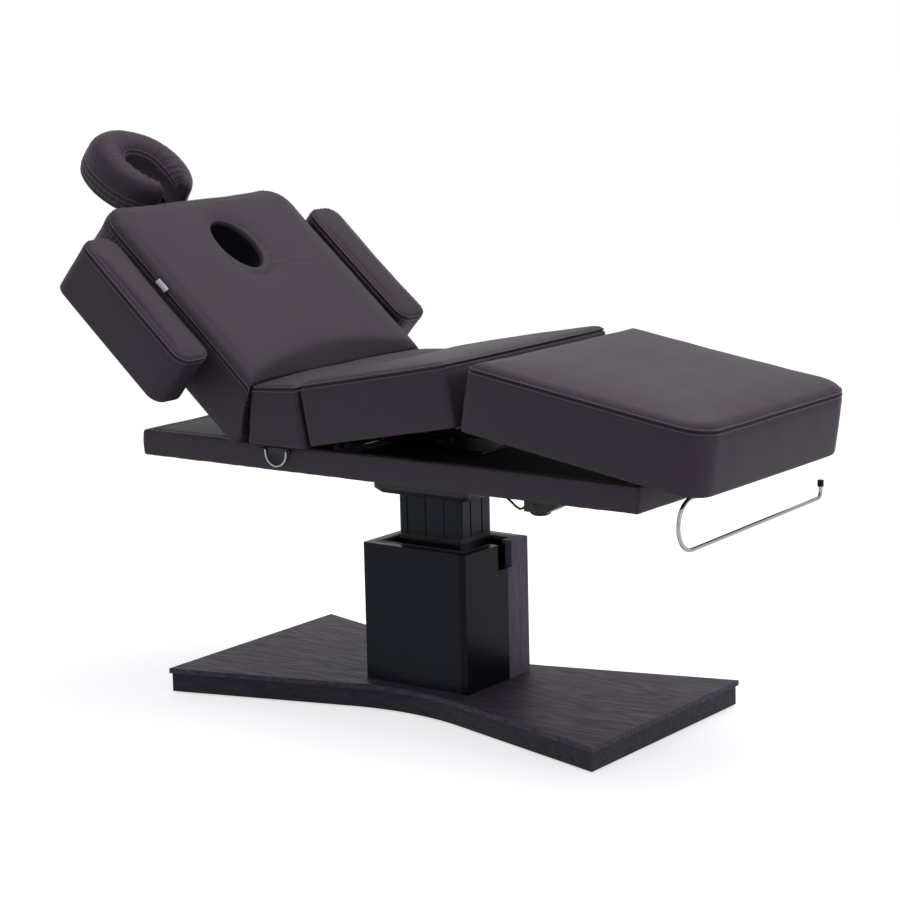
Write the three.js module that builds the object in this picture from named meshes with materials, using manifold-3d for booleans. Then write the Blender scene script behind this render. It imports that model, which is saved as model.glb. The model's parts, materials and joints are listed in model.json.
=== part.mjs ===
// Electric spa bed: a bow-tie wooden base, a boxed-in lifting column, a long padded
// under-frame, and five cushions (head, back, lumbar block, seat, leg) that fold with motors.
// Millimetres. X runs towards the foot end, Y towards the far side, Z up from the floor.
// The origin is on the floor under the middle of the column.

import * as THREE from 'three';
import { mergeVertices } from 'three/addons/utils/BufferGeometryUtils.js';
import Module from 'manifold-3d';

const wasm = await Module();
wasm.setup();

// Fits and general values
const seatGap = 0.3;            // between pieces that touch
const runGap = 0.3;             // round pins and guides
const cutOver = 2;              // how far a cutting solid runs past a face

// Base
const baseLength = 1192;
const baseWidth = 610;
const waistWidth = 318;
const waistLength = 300;
const baseHeight = 60;
const basePanelThickness = 12;
const basePanelLip = 5;
const glideThickness = 4;
const glideLength = 24;
const glideWidth = 420;
const glideMiddleWidth = 240;
const glideInset = 40;

// Column cover, made of boards
const coverLength = 288;
const coverWidth = 244;
const coverTop = 382;
const coverBoard = 18;
const rimThickness = 8;
const rimOpeningLength = 236;
const rimOpeningWidth = 172;
const coverSeamY = 41;
const coverSeam = 0.6;
const notchWidth = 53;
const notchDepth = 60;
const notchY = 30.5;

// Lifting column, three stages, the largest on top
const columnLength = 172;
const columnWidth = 128;
const columnCorner = 10;
const columnWall = 4;
const columnBottom = 394;
const columnTop = 602;
const middleBottom = 240;
const middleTop = 546;
const lowerTop = 400;
const guideHeight = 12;
const fluteWidth = 5;
const fluteDepth = 1.6;
const columnFlange = 8;
const columnFlangeWidth = 26;
const liftMotorRadius = 40;
const liftMotorHeight = 90;
const liftScrewRadius = 10;
const liftScrewTop = 470;
const nutTubeRadius = 17;
const nutTubeBottom = 268;
const nutTubeBore = 12;

// Under-frame
const frameHeadEnd = -655;
const frameFootEnd = 712;
const frameWidth = 600;
const frameBottom = 567;
const frameTop = 628;
const framePanel = 22;
const frameEdgeRound = 7;
const deckFoot = -420;
const deckThickness = 12;
const railY = 200;
const railWidth = 26;
const railBottom = 576;
const railTop = 602;
const railWall = 2.5;
const crossHeadX = -185;
const crossColumnX = 140;
const crossFootX = 660;
const crossActuatorX = 438;
const trayLength = 264;
const trayWidth = 200;
const trayBottom = 495;
const trayChamfer = 12;
const trayWall = 3;

// Back section, turned about its hinge
const backPivotX = -371.6;
const backPivotZ = 616;
const backTilt = 41;
const backTiltMax = 60;
const backLength = 620;
const backFootEnd = 56;
const backWidth = 652;
const backThickness = 156;
const backHeadCorner = 72;
const boardDrop = 16;           // hinge axis below the underside of the boards
const backBoardThickness = 20;
const boardInset = 14;
const faceHoleAlong = 448;
const faceHoleLength = 168;
const faceHoleWidth = 126;

// Lumbar block, fixed on the frame
const blockHead = -313;
const blockFootTop = -164.5;
const blockFootBottom = -139;
const blockTop = 760;
const blockRise = 12;             // how much higher its top is at the seat than at the back
const blockWidth = 644;

// Seat section, tilted up at the knee
const seatPivotX = -133;
const seatPivotZ = 619;
const seatTilt = 10.8;
const seatSwing = 11.8;
const seatLength = 412;
const seatRearEnd = 2;
const seatWidth = 644;
const seatThickness = 151;
const seatDrop = 17;
const boardThickness = 15;

// Leg section, sloping down from the knee
const legTilt = 9.1;
const legLength = 590;
const legKneeGap = 6;
const legWidth = 648;
const legThickness = 158;
const legDrop = 12;
const legFootCorner = 85;

// Cushion making
const smallCorner = 14;
const cushionEdge = 15;
const crownHeight = 7;
const drawIn = 3;
const sideBulge = 2.5;

// Hinge shafts, levers and the two motors that push them
const shaftRadius = 9;
const shaftHalf = 222;
const lugThickness = 10;
const lugReach = 46;
const lugY = 110;
const flangeThickness = 6;
const flangeHalf = 34;
const actuatorY = 145;
const actuatorZ = 556;
const leverThickness = 10;
const leverWidth = 28;
const pushPin = 5;
const pushPinPlay = 2.8;
const slotPlay = 1.5;
const rodRadius = 9;
const tubeRadius = 18;
const forkCheek = 6;
const forkHeight = 22;
const forkReach = 26;
const backRodLength = 190;
const seatRodLength = 210;
const gearboxLength = 90;
const gearboxWidth = 50;
const gearboxTop = 572;
const gearboxBottom = 513;
const gearboxTail = 531;
const motorRadius = 27;
const motorTurn = 16;
const motorBottom = 503;
const clevisLength = 22;
const clevisWidth = 22;

// Knee hinge between the seat board and the leg board
const kneePinRadius = 6;
const kneeBarrel = 11;
const kneeLeafHalf = 240;
const kneeLeafLength = 60;
const kneeKnuckleHalf = 120;
const kneeSink = 3;             // how far a leaf runs into its knuckle

// Slippery strip on the foot end of the frame, under the leg section
const legStripWidth = 14;
const legStripTop = 630.6;
const legStripHalf = 250;

// Armrests, plugged into the back board
const armLow = 141;
const armHigh = 532;
const armGap = 27;
const armWidth = 104;
const armHeight = 143;
const armTopDrop = 10;
const armCorner = 34;
const armEdge = 11;
const tongueWidth = 30;
const tongueThickness = 6;
const tongueReach = 90;
const armPlateThickness = 5;
const armPlateHeight = 56;
const armPlateInset = 40;

// Headrest, a horseshoe on two rods
const headRodRadius = 6;
const headRodY = 88;
const headRodDrop = -9;         // height of the rods over the hinge axis level of the back
const headRodInner = 452;
const headHingeAlong = 644;
const headBarRadius = 7;
const headBarHalf = 118;
const headSocketWidth = 24;
const headSocketLength = 130;
const headSocketStart = 470;
const headTilt = -6;
const headBoardThickness = 11;
const headBoardLift = 59;
const headBoardShare = 0.03;    // how much shorter than the pad the board is at each horn
const headCentre = 132;
const headRadius = 92;
const headPadWidth = 86;
const headPadHeight = 88;
const headMouthAngle = 17;
const headLugThickness = 10;
const headLugY = 60;

// Paper-roll holder under the leg section
const paperX = 814;
const paperRod = 4.5;
const paperBend = 54;
const paperTopZ = 608;
const paperNearY = -258;
const paperFarY = 286;
const paperHook = 14;
const paperUpright = 18;
const paperRise = 11;             // how much the long arm climbs to its free end
const paperSocketY = -200;
const paperSocketSize = 16;
const paperCapRadius = 7;
const paperCapLength = 14;

// Hook on the near side of the frame: a wire loop that hangs in two eyes
const hookX = -242;
const hookRadius = 30;
const hookWire = 2.5;
const hookDrop = 6;
const hookPivotZ = 616;
const hookEnd = 9;
const hookEyeRadius = 4.5;
const hookEyeLength = 6;
const hookPlateThickness = 2;

// Cable from the seat motor up to the near rail
const cableRadius = 2.6;
const cableSag = 10;
const cableRun = 90;

const rad = THREE.MathUtils.degToRad;
const baseTopZ = baseHeight;
const backTopN = boardDrop + backThickness;

// Finishes
const finish = (color, roughness, metalness = 0) => new THREE.MeshStandardMaterial({ color, roughness, metalness });
const vinyl = finish('#4c4149', 0.5);
const woodVeneer = finish('#38323a', 0.55);
const glossBoard = finish('#1d1f26', 0.25);
const blackAluminium = finish('#1c2027', 0.4, 0.8);
const blackSteel = finish('#17181c', 0.5, 0.6);
const plywood = finish('#8a6a48', 0.7);
const chromed = finish('#d9dbe0', 0.12, 1);
const blackPlastic = finish('#15161a', 0.55);
const rubber = finish('#101012', 0.9);

// Solids: geometry in, boolean, geometry out
function toSolid(geometry) {
  const bare = geometry.index ? geometry.clone() : geometry;
  bare.deleteAttribute('normal');
  bare.deleteAttribute('uv');
  const merged = mergeVertices(bare);
  const vertProperties = new Float32Array(merged.attributes.position.array);
  const triVerts = new Uint32Array(merged.index.array);
  return new wasm.Manifold(new wasm.Mesh({ numProp: 3, vertProperties, triVerts }));
}

function toGeometry(solid) {
  const mesh = solid.getMesh();
  const geometry = new THREE.BufferGeometry();
  geometry.setAttribute('position', new THREE.BufferAttribute(new Float32Array(mesh.vertProperties), 3));
  geometry.setIndex(new THREE.BufferAttribute(new Uint32Array(mesh.triVerts), 1));
  return geometry;
}

function cut(body, ...tools) {
  let solid = toSolid(body);
  for (const tool of tools) solid = solid.subtract(toSolid(tool));
  return toGeometry(solid);
}

function join(...bodies) {
  let solid = toSolid(bodies[0]);
  for (const body of bodies.slice(1)) solid = solid.add(toSolid(body));
  return toGeometry(solid);
}

// A box between two corners
function box(x0, x1, y0, y1, z0, z1) {
  const geometry = new THREE.BoxGeometry(x1 - x0, y1 - y0, z1 - z0);
  return geometry.translate((x0 + x1) / 2, (y0 + y1) / 2, (z0 + z1) / 2);
}

// A round bar along one axis, between two places on it
function bar(axis, radius, from, to, sides = 20) {
  const geometry = new THREE.CylinderGeometry(radius, radius, to - from, sides);
  geometry.translate(0, (from + to) / 2, 0);
  if (axis === 'x') geometry.rotateZ(-Math.PI / 2);
  if (axis === 'z') geometry.rotateX(Math.PI / 2);
  return geometry;
}

// An outline in XY raised along Z
function raise(points, z0, z1, holes = []) {
  const shape = new THREE.Shape(points);
  for (const hole of holes) shape.holes.push(new THREE.Path(hole));
  const geometry = new THREE.ExtrudeGeometry(shape, { depth: z1 - z0, bevelEnabled: false });
  return geometry.translate(0, 0, z0);
}

// An outline in XZ carried along Y
function carry(points, y0, y1) {
  const flipped = points.map((p) => new THREE.Vector2(p.x, p.y));
  const geometry = new THREE.ExtrudeGeometry(new THREE.Shape(flipped), { depth: y1 - y0, bevelEnabled: false });
  return geometry.rotateX(Math.PI / 2).translate(0, y1, 0);
}

// A rounded rectangle: each corner has its own radius, from (+x, +y) round to (+x, -y)
function roundedOutline(halfX, halfY, radii, steps = 4) {
  const corners = [[1, 1], [-1, 1], [-1, -1], [1, -1]];
  const points = [];
  corners.forEach(([sx, sy], i) => {
    const r = radii[i];
    for (let k = 0; k <= steps; k += 1) {
      const a = Math.PI / 2 * (i + k / steps);
      points.push(new THREE.Vector2(sx * (halfX - r) + r * Math.cos(a), sy * (halfY - r) + r * Math.sin(a)));
    }
  });
  return points;
}

function ellipseOutline(halfX, halfY, count = 28) {
  const points = [];
  for (let k = 0; k < count; k += 1) {
    const a = 2 * Math.PI * k / count;
    points.push(new THREE.Vector2(halfX * Math.cos(a), halfY * Math.sin(a)));
  }
  return points;
}

// One ring of a cushion: a rounded rectangle whose straight runs are drawn in at their middles
function cushionRing(halfX, halfY, radii, pull) {
  const cornerSteps = 4;
  const runSteps = [4, 6, 4, 6];
  const corners = roundedOutline(halfX, halfY, radii, cornerSteps);
  const points = [];
  for (let i = 0; i < 4; i += 1) {
    for (let k = 0; k <= cornerSteps; k += 1) points.push(corners[i * (cornerSteps + 1) + k].clone());
    const from = points[points.length - 1];
    const to = corners[((i + 1) % 4) * (cornerSteps + 1)];
    const along = new THREE.Vector2().subVectors(to, from).normalize();
    const inward = new THREE.Vector2(-along.y, along.x);
    const runs = runSteps[(i + 1) % 4];
    for (let k = 1; k < runs; k += 1) {
      const share = k / runs;
      const p = from.clone().lerp(to, share);
      points.push(p.addScaledVector(inward, pull * Math.sin(Math.PI * share)));
    }
  }
  return points;
}

// A stack of rings with the same number of points, closed by a fan at each end
function skin(rings, lowCentre, highCentre) {
  const count = rings[0].length;
  const positions = [];
  const index = [];
  for (const ring of rings) for (const p of ring) positions.push(p.x, p.y, p.z);
  const low = rings.length * count;
  positions.push(lowCentre.x, lowCentre.y, lowCentre.z, highCentre.x, highCentre.y, highCentre.z);
  const high = low + 1;
  for (let r = 0; r + 1 < rings.length; r += 1) {
    for (let k = 0; k < count; k += 1) {
      const a = r * count + k;
      const b = r * count + (k + 1) % count;
      index.push(a, b, b + count, a, b + count, a + count);
    }
  }
  const last = (rings.length - 1) * count;
  for (let k = 0; k < count; k += 1) {
    const next = (k + 1) % count;
    index.push(low, next, k);
    index.push(high, last + k, last + next);
  }
  const geometry = new THREE.BufferGeometry();
  geometry.setAttribute('position', new THREE.Float32BufferAttribute(positions, 3));
  geometry.setIndex(index);
  return geometry;
}

// A crowned cushion: sides that swell and draw in, a rolled top edge and a domed top.
// It is centred in X and Y and stands on z = bottom.
const sideLevelShares = [0, 0.3, 0.65, 1];
const edgeTurnShares = [1 / 3, 2 / 3, 1];
const crownRingShares = [0.22, 0.5, 0.78];
function cushion(length, width, bottom, top, radii, edge, crown) {
  const halfX = length / 2;
  const halfY = width / 2;
  const shoulder = top - crown - edge;
  const rings = [];
  const level = (inset, z, pull) => {
    const ringRadii = radii.map((r) => Math.max(r - inset, edge / 4));
    const ring = cushionRing(halfX - inset, halfY - inset, ringRadii, pull);
    rings.push(ring.map((p) => new THREE.Vector3(p.x, p.y, z)));
  };
  for (const share of sideLevelShares) {
    const swell = sideBulge * Math.sin(Math.PI * share);
    level(sideBulge - swell, bottom + share * (shoulder - bottom), drawIn * Math.min(1, 2 * share));
  }
  for (const share of edgeTurnShares) {
    const a = Math.PI / 2 * share;
    level(sideBulge + edge * (1 - Math.cos(a)), shoulder + edge * Math.sin(a), drawIn * (1 - share / 2));
  }
  const rim = rings[rings.length - 1];
  for (const share of crownRingShares) {
    const lift = crown * (1 - (1 - share) ** 2);
    rings.push(rim.map((p) => new THREE.Vector3(p.x * (1 - share), p.y * (1 - share), p.z + lift)));
  }
  return skin(rings, new THREE.Vector3(0, 0, bottom), new THREE.Vector3(0, 0, top));
}

function add(parent, name, geometry, material) {
  const mesh = new THREE.Mesh(geometry, material);
  mesh.name = name;
  parent.add(mesh);
  return mesh;
}

function placedGroup(parent, x, y, z, tilt = 0) {
  const group = new THREE.Group();
  group.position.set(x, y, z);
  group.rotation.y = rad(tilt);
  parent.add(group);
  return group;
}

// Base: straight sides that run in to a curved waist, a core with a thin overhanging top panel
function bowTie(inset) {
  const halfX = baseLength / 2 - inset;
  const halfY = baseWidth / 2 - inset;
  const waistY = waistWidth / 2 - inset;
  const tangentX = waistLength / 2;
  // The arc meets the straight run where their slopes agree
  const slope = Math.atan2(2 * (halfY - waistY), 2 * halfX - tangentX);
  const radius = tangentX / Math.sin(slope);
  const steps = 8;
  const side = [];
  for (let k = -steps; k <= steps; k += 1) {
    const a = slope * k / steps;
    side.push([radius * Math.sin(a), waistY + radius * (1 - Math.cos(a))]);
  }
  const near = [[-halfX, halfY], ...side, [halfX, halfY]];
  const lower = near.map(([x, y]) => new THREE.Vector2(x, -y));
  const upper = near.slice().reverse().map(([x, y]) => new THREE.Vector2(x, y));
  return [...lower, ...upper];
}

function buildBase(root) {
  const panelBottom = baseTopZ - basePanelThickness;
  add(root, 'base_core', raise(bowTie(basePanelLip), glideThickness, panelBottom - seatGap), woodVeneer);
  add(root, 'base_top_panel', raise(bowTie(0), panelBottom, baseTopZ), woodVeneer);
  const reach = baseLength / 2 - glideInset - glideLength / 2;
  const glides = [['head', -reach, glideWidth], ['middle', 0, glideMiddleWidth], ['foot', reach, glideWidth]];
  for (const [label, x, width] of glides) {
    const pad = box(x - glideLength / 2, x + glideLength / 2, -width / 2, width / 2, 0, glideThickness - seatGap);
    add(root, `base_glide_${label}`, pad, rubber);
  }
}

// Cover: four sides of board, the foot side in two widths, and a rim let in at the top
function buildCover(root) {
  const hx = coverLength / 2;
  const hy = coverWidth / 2;
  const low = baseTopZ + seatGap;
  const inner = coverBoard + seatGap;
  const notch = box(hx - coverBoard * 2 - cutOver, hx + cutOver,
    notchY - notchWidth / 2, notchY + notchWidth / 2, coverTop - notchDepth, coverTop + cutOver);
  add(root, 'cover_near', box(-hx, hx - inner, -hy, -hy + coverBoard, low, coverTop), glossBoard);
  add(root, 'cover_far', box(-hx, hx - inner, hy - coverBoard, hy, low, coverTop), glossBoard);
  add(root, 'cover_head', box(-hx, -hx + coverBoard, -hy + inner, hy - inner, low, coverTop), glossBoard);
  const door = box(hx - coverBoard, hx, -hy, coverSeamY - coverSeam / 2, low, coverTop);
  add(root, 'cover_door', cut(door, notch), glossBoard);
  const strip = box(hx - coverBoard, hx, coverSeamY + coverSeam / 2, hy, low, coverTop);
  add(root, 'cover_strip', cut(strip, notch), woodVeneer);
  const rim = box(-hx + inner, hx - inner, -hy + inner, hy - inner, coverTop - rimThickness, coverTop);
  const opening = box(-rimOpeningLength / 2, rimOpeningLength / 2, -rimOpeningWidth / 2, rimOpeningWidth / 2,
    coverTop - rimThickness - cutOver, coverTop + cutOver);
  add(root, 'cover_rim', cut(rim, opening, notch), woodVeneer);
}

// Column profiles, as rounded rectangles one inside the other
function stageOutline(step) {
  const shrink = step * (columnWall + runGap);
  const corner = Math.max(columnCorner - shrink, columnWall);
  return roundedOutline(columnLength / 2 - shrink, columnWidth / 2 - shrink, [corner, corner, corner, corner], 3);
}

// A tube of a stage: its outer outline, and the bore one wall further in
function stageTube(step, z0, z1) {
  const shrink = step * (columnWall + runGap) + columnWall;
  const corner = Math.max(columnCorner - shrink, columnWall / 2);
  const bore = roundedOutline(columnLength / 2 - shrink, columnWidth / 2 - shrink, [corner, corner, corner, corner], 3);
  return raise(stageOutline(step), z0, z1, [bore.reverse()]);
}

const longFluteShares = [-0.68, -0.08, 0.52];
const shortFluteShares = [-0.84, -0.3, 0.38];
function flutes(z0, z1) {
  const tools = [];
  for (const side of [-1, 1]) {
    for (const share of longFluteShares) {
      const x = share * columnLength / 2;
      const face = side * columnWidth / 2;
      tools.push(box(x - fluteWidth / 2, x + fluteWidth / 2, face - fluteDepth, face + fluteDepth, z0, z1));
    }
    for (const share of shortFluteShares) {
      const y = share * columnWidth / 2;
      const face = side * columnLength / 2;
      tools.push(box(face - fluteDepth, face + fluteDepth, y - fluteWidth / 2, y + fluteWidth / 2, z0, z1));
    }
  }
  return tools;
}

function buildColumnRoot(root) {
  const foot = baseTopZ + seatGap;
  const flange = raise(roundedOutline(columnLength / 2 + columnFlangeWidth / 2, columnWidth / 2 + columnFlangeWidth / 2,
    [columnCorner, columnCorner, columnCorner, columnCorner], 3), foot, foot + columnFlange);
  add(root, 'column_lower', join(flange, stageTube(2, foot + columnFlange / 2, lowerTop)), blackAluminium);
  const motorFoot = foot + columnFlange + seatGap;
  const motor = bar('z', liftMotorRadius, motorFoot, motorFoot + liftMotorHeight, 28);
  const screw = bar('z', liftScrewRadius, motorFoot + liftMotorHeight / 2, liftScrewTop, 16);
  add(root, 'lift_motor', join(motor, screw), blackSteel);
}

function buildColumnMiddle(root) {
  add(root, 'column_middle', stageTube(1, middleBottom, middleTop), blackAluminium);
}

function buildColumnTop(root) {
  const tube = cut(stageTube(0, columnBottom + guideHeight / 2, columnTop + columnFlange / 2),
    ...flutes(columnBottom, trayBottom));
  const plate = box(crossHeadX - railWidth / 2, crossColumnX + railWidth / 2, -columnWidth / 2, columnWidth / 2,
    columnTop + seatGap, columnTop + columnFlange);
  const bore = bar('z', nutTubeRadius + runGap, columnTop - cutOver, columnTop + columnFlange + cutOver, 24);
  add(root, 'column_upper', cut(join(plate, tube), bore), blackAluminium);
  const nut = bar('z', nutTubeRadius, nutTubeBottom, columnTop + columnFlange + seatGap * 2, 24);
  const collar = bar('z', nutTubeRadius + columnFlange, columnTop + columnFlange + seatGap,
    columnTop + columnFlange * 2, 24);
  const nutBore = bar('z', nutTubeBore, nutTubeBottom - cutOver, columnTop - columnFlange, 20);
  add(root, 'lift_nut_tube', cut(join(nut, collar), nutBore), blackSteel);
  const shrink = columnWall + runGap / 3;
  const corner = Math.max(columnCorner - shrink, columnWall);
  const ringBore = roundedOutline(columnLength / 2 - shrink, columnWidth / 2 - shrink,
    [corner, corner, corner, corner], 3);
  const ring = raise(stageOutline(0), columnBottom - guideHeight / 2, columnBottom + guideHeight / 2 - seatGap,
    [ringBore]);
  add(root, 'column_guide', ring, blackPlastic);
}

// Tray: a shallow pressed pan round the head of the column, chamfered at its lower edges
function buildTray(root) {
  const top = railBottom - seatGap;
  const solidPan = (grow, z0) => {
    const ringAt = (inset, z) => roundedOutline(trayLength / 2 - inset - grow, trayWidth / 2 - inset - grow,
      [trayChamfer, trayChamfer, trayChamfer, trayChamfer], 3).map((p) => new THREE.Vector3(p.x, p.y, z));
    const rings = [ringAt(trayChamfer, z0), ringAt(0, z0 + trayChamfer), ringAt(0, top + (grow ? cutOver : 0))];
    return skin(rings, new THREE.Vector3(0, 0, z0), new THREE.Vector3(0, 0, top + (grow ? cutOver : 0)));
  };
  const throat = raise(roundedOutline(columnLength / 2 + runGap, columnWidth / 2 + runGap,
    [columnCorner, columnCorner, columnCorner, columnCorner], 3), trayBottom - cutOver, top + cutOver);
  add(root, 'column_tray', cut(solidPan(0, trayBottom), solidPan(trayWall, trayBottom + trayWall), throat), blackSteel);
}

// Under-frame: two long rails, cross tubes, and padded panels round the outside
function hollowBar(x0, x1, y0, y1, z0, z1, axis) {
  const outer = box(x0, x1, y0, y1, z0, z1);
  const w = railWall;
  const bore = axis === 'x'
    ? box(x0 - cutOver, x1 + cutOver, y0 + w, y1 - w, z0 + w, z1 - w)
    : box(x0 + w, x1 - w, y0 - cutOver, y1 + cutOver, z0 + w, z1 - w);
  return cut(outer, bore);
}

// A bearing on a rail: a round eye for a hinge shaft, on a short post
function bearing(x, z, y) {
  const half = railWidth / 2 - railWall;
  const round = shaftRadius + flangeThickness - seatGap;
  const bore = bar('y', shaftRadius + runGap, y - railWidth, y + railWidth, 20).translate(x, 0, z);
  const eye = bar('y', round, y - half, y + half, 20).translate(x, 0, z);
  const post = box(x - round, x + round, y - half, y + half, railTop - railWall / 2, z);
  return cut(join(eye, post), bore);
}

function buildRails(frame) {
  const inner = framePanel + seatGap;
  for (const [name, side] of [['rail_near', -1], ['rail_far', 1]]) {
    const y = side * railY;
    const tube = hollowBar(frameHeadEnd + inner, frameFootEnd - inner, y - railWidth / 2, y + railWidth / 2,
      railBottom, railTop, 'x');
    const eyes = [bearing(backPivotX, backPivotZ, y), bearing(seatPivotX, seatPivotZ, y)];
    add(frame, name, join(tube, ...eyes), blackSteel);
  }
  const crossHalf = railY - railWidth / 2 - seatGap;
  const crosses = [['cross_tube_head', crossHeadX], ['cross_tube_column', crossColumnX],
    ['cross_tube_motor', crossActuatorX], ['cross_tube_foot', crossFootX]];
  for (const [name, x] of crosses) {
    const tube = hollowBar(x - railWidth / 2, x + railWidth / 2, -crossHalf, crossHalf, railBottom, railTop, 'y');
    add(frame, name, tube, blackSteel);
  }
}

// One side of the frame: a padded board with rolled upper and lower edges
function sidePanelProfile(outward) {
  const r = frameEdgeRound;
  const half = (frameTop - frameBottom) / 2;
  const outer = roundedOutline(framePanel / 2, half, [r, r / 2, r / 2, r], 3);
  return outer.map((p) => new THREE.Vector2(outward * p.x, p.y + frameBottom + half));
}

function buildFramePanels(frame) {
  const y = frameWidth / 2 - framePanel / 2;
  for (const [name, side] of [['side_panel_near', -1], ['side_panel_far', 1]]) {
    const points = sidePanelProfile(side);
    if (side < 0) points.reverse();
    const shape = new THREE.Shape(points);
    const length = frameFootEnd - frameHeadEnd;
    const panel = new THREE.ExtrudeGeometry(shape, { depth: length, bevelEnabled: false });
    panel.rotateX(Math.PI / 2).rotateZ(Math.PI / 2).translate(frameHeadEnd, side * y, 0);
    add(frame, name, panel, vinyl);
  }
  const half = frameWidth / 2 - framePanel - seatGap;
  const ends = [['end_panel_head', frameHeadEnd], ['end_panel_foot', frameFootEnd - framePanel]];
  for (const [name, x] of ends) {
    const shape = sidePanelProfile(x < 0 ? -1 : 1);
    if (x < 0) shape.reverse();
    const panel = carry(shape, -half, half).translate(x + framePanel / 2, 0, 0);
    add(frame, name, panel, vinyl);
  }
  const deckX = frameHeadEnd + framePanel + seatGap;
  add(frame, 'head_deck', box(deckX, deckFoot, -half, half, frameTop - deckThickness, frameTop), vinyl);
}

// The strip that the leg section comes down on
function buildLegStrip(frame) {
  const x = frameFootEnd - framePanel / 2;
  const strip = box(x - legStripWidth / 2, x + legStripWidth / 2, -legStripHalf, legStripHalf,
    frameTop + seatGap, legStripTop);
  add(frame, 'leg_rest_strip', strip, blackPlastic);
}

// Raises the top of the block in step with the distance from its head side; its underside stays flat
function slopeTop(pad, bottom) {
  const position = pad.attributes.position;
  for (let k = 0; k < position.count; k += 1) {
    const along = (position.getX(k) - blockHead) / (blockFootBottom - blockHead);
    const share = (position.getZ(k) - bottom) / (blockTop - bottom);
    position.setZ(k, position.getZ(k) + blockRise * along * share);
  }
}

// Lumbar block: its foot side leans with the seat
function buildBlock(frame) {
  const bottom = frameTop + seatGap;
  const length = blockFootBottom - blockHead;
  const centreX = (blockFootBottom + blockHead) / 2;
  const radii = [smallCorner, smallCorner, smallCorner, smallCorner];
  const pad = cushion(length, blockWidth, bottom, blockTop, radii, cushionEdge, crownHeight / 2)
    .translate(centreX, 0, 0);
  slopeTop(pad, bottom);
  const run = blockFootBottom - blockFootTop;
  const wedge = carry([
    new THREE.Vector2(blockFootBottom, bottom),
    new THREE.Vector2(blockFootBottom + run, bottom),
    new THREE.Vector2(blockFootBottom + run, blockTop * 2 - bottom),
    new THREE.Vector2(blockFootTop - run, blockTop * 2 - bottom),
  ], -blockWidth, blockWidth);
  const reliefs = [-1, 1].map((side) => {
    const y = side * railY;
    const round = shaftRadius + flangeThickness + seatGap;
    return bar('y', round, y - railWidth / 2, y + railWidth / 2, 20).translate(seatPivotX, 0, seatPivotZ);
  });
  add(frame, 'lumbar_cushion', cut(pad, wedge, ...reliefs), vinyl);
}

// A hinge shaft with two lugs, flanges that reach under the board, and a slotted lever for its motor
function hingeShaft(drop, toward, leverY, leverAngle, reach) {
  const parts = [bar('y', shaftRadius, -shaftHalf, shaftHalf, 20)];
  const x0 = Math.min(0, toward * lugReach);
  const x1 = Math.max(0, toward * lugReach);
  for (const side of [-1, 1]) {
    const y = side * lugY;
    parts.push(box(x0, x1, y - lugThickness / 2, y + lugThickness / 2, -shaftRadius / 2,
      drop - flangeThickness / 2));
    parts.push(box(x0, x1, y - flangeHalf, y + flangeHalf, drop - flangeThickness, drop - seatGap));
  }
  const lever = box(-leverWidth / 2, leverWidth / 2, leverY - leverThickness / 2, leverY + leverThickness / 2,
    -reach.far - leverWidth / 2, 0);
  const slotHalf = pushPin + pushPinPlay;
  const slot = box(-slotHalf, slotHalf, leverY - leverThickness, leverY + leverThickness,
    -reach.far - pushPin - slotPlay, -reach.near + pushPin + slotPlay);
  const turn = rad(leverAngle);
  parts.push(cut(lever, slot).rotateY(turn));
  return join(...parts);
}

// How near and how far the push pin comes to a shaft that turns over a range
function leverReach(height, angles) {
  const lengths = angles.map((a) => height / Math.cos(rad(a)));
  return { near: Math.min(height, ...lengths), far: Math.max(...lengths) };
}

// Back section
const backLeverFlat = -30;      // lever swing from straight down, at the flat pose
const backReach = leverReach(backPivotZ - actuatorZ, [backLeverFlat, backLeverFlat + backTiltMax]);

// The lower end of the back cushion is cut so that it clears the frame and the block up to its steepest pose
function backClearance(gap) {
  const limitX = blockHead - gap - backPivotX;
  const limitZ = blockTop + blockRise + gap - backPivotZ;
  const floorZ = frameTop + gap - backPivotZ;
  const far = backThickness * 2;
  const tools = [];
  const angles = [0, backTilt, (backTilt + backTiltMax) / 2, backTiltMax];
  for (const angle of angles) {
    const block = carry([
      new THREE.Vector2(-far, -far),
      new THREE.Vector2(far, -far),
      new THREE.Vector2(far, limitZ),
      new THREE.Vector2(limitX, limitZ),
      new THREE.Vector2(limitX, floorZ),
      new THREE.Vector2(-far, floorZ),
    ], -backWidth, backWidth);
    tools.push(block.rotateY(-rad(angle)));
  }
  return tools;
}

function backPad(width, top) {
  const length = backLength + backFootEnd;
  const radii = [smallCorner, backHeadCorner, backHeadCorner, smallCorner];
  return cushion(length, width, boardDrop, top, radii, cushionEdge, crownHeight)
    .translate((backFootEnd - backLength) / 2, 0, 0);
}

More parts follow.
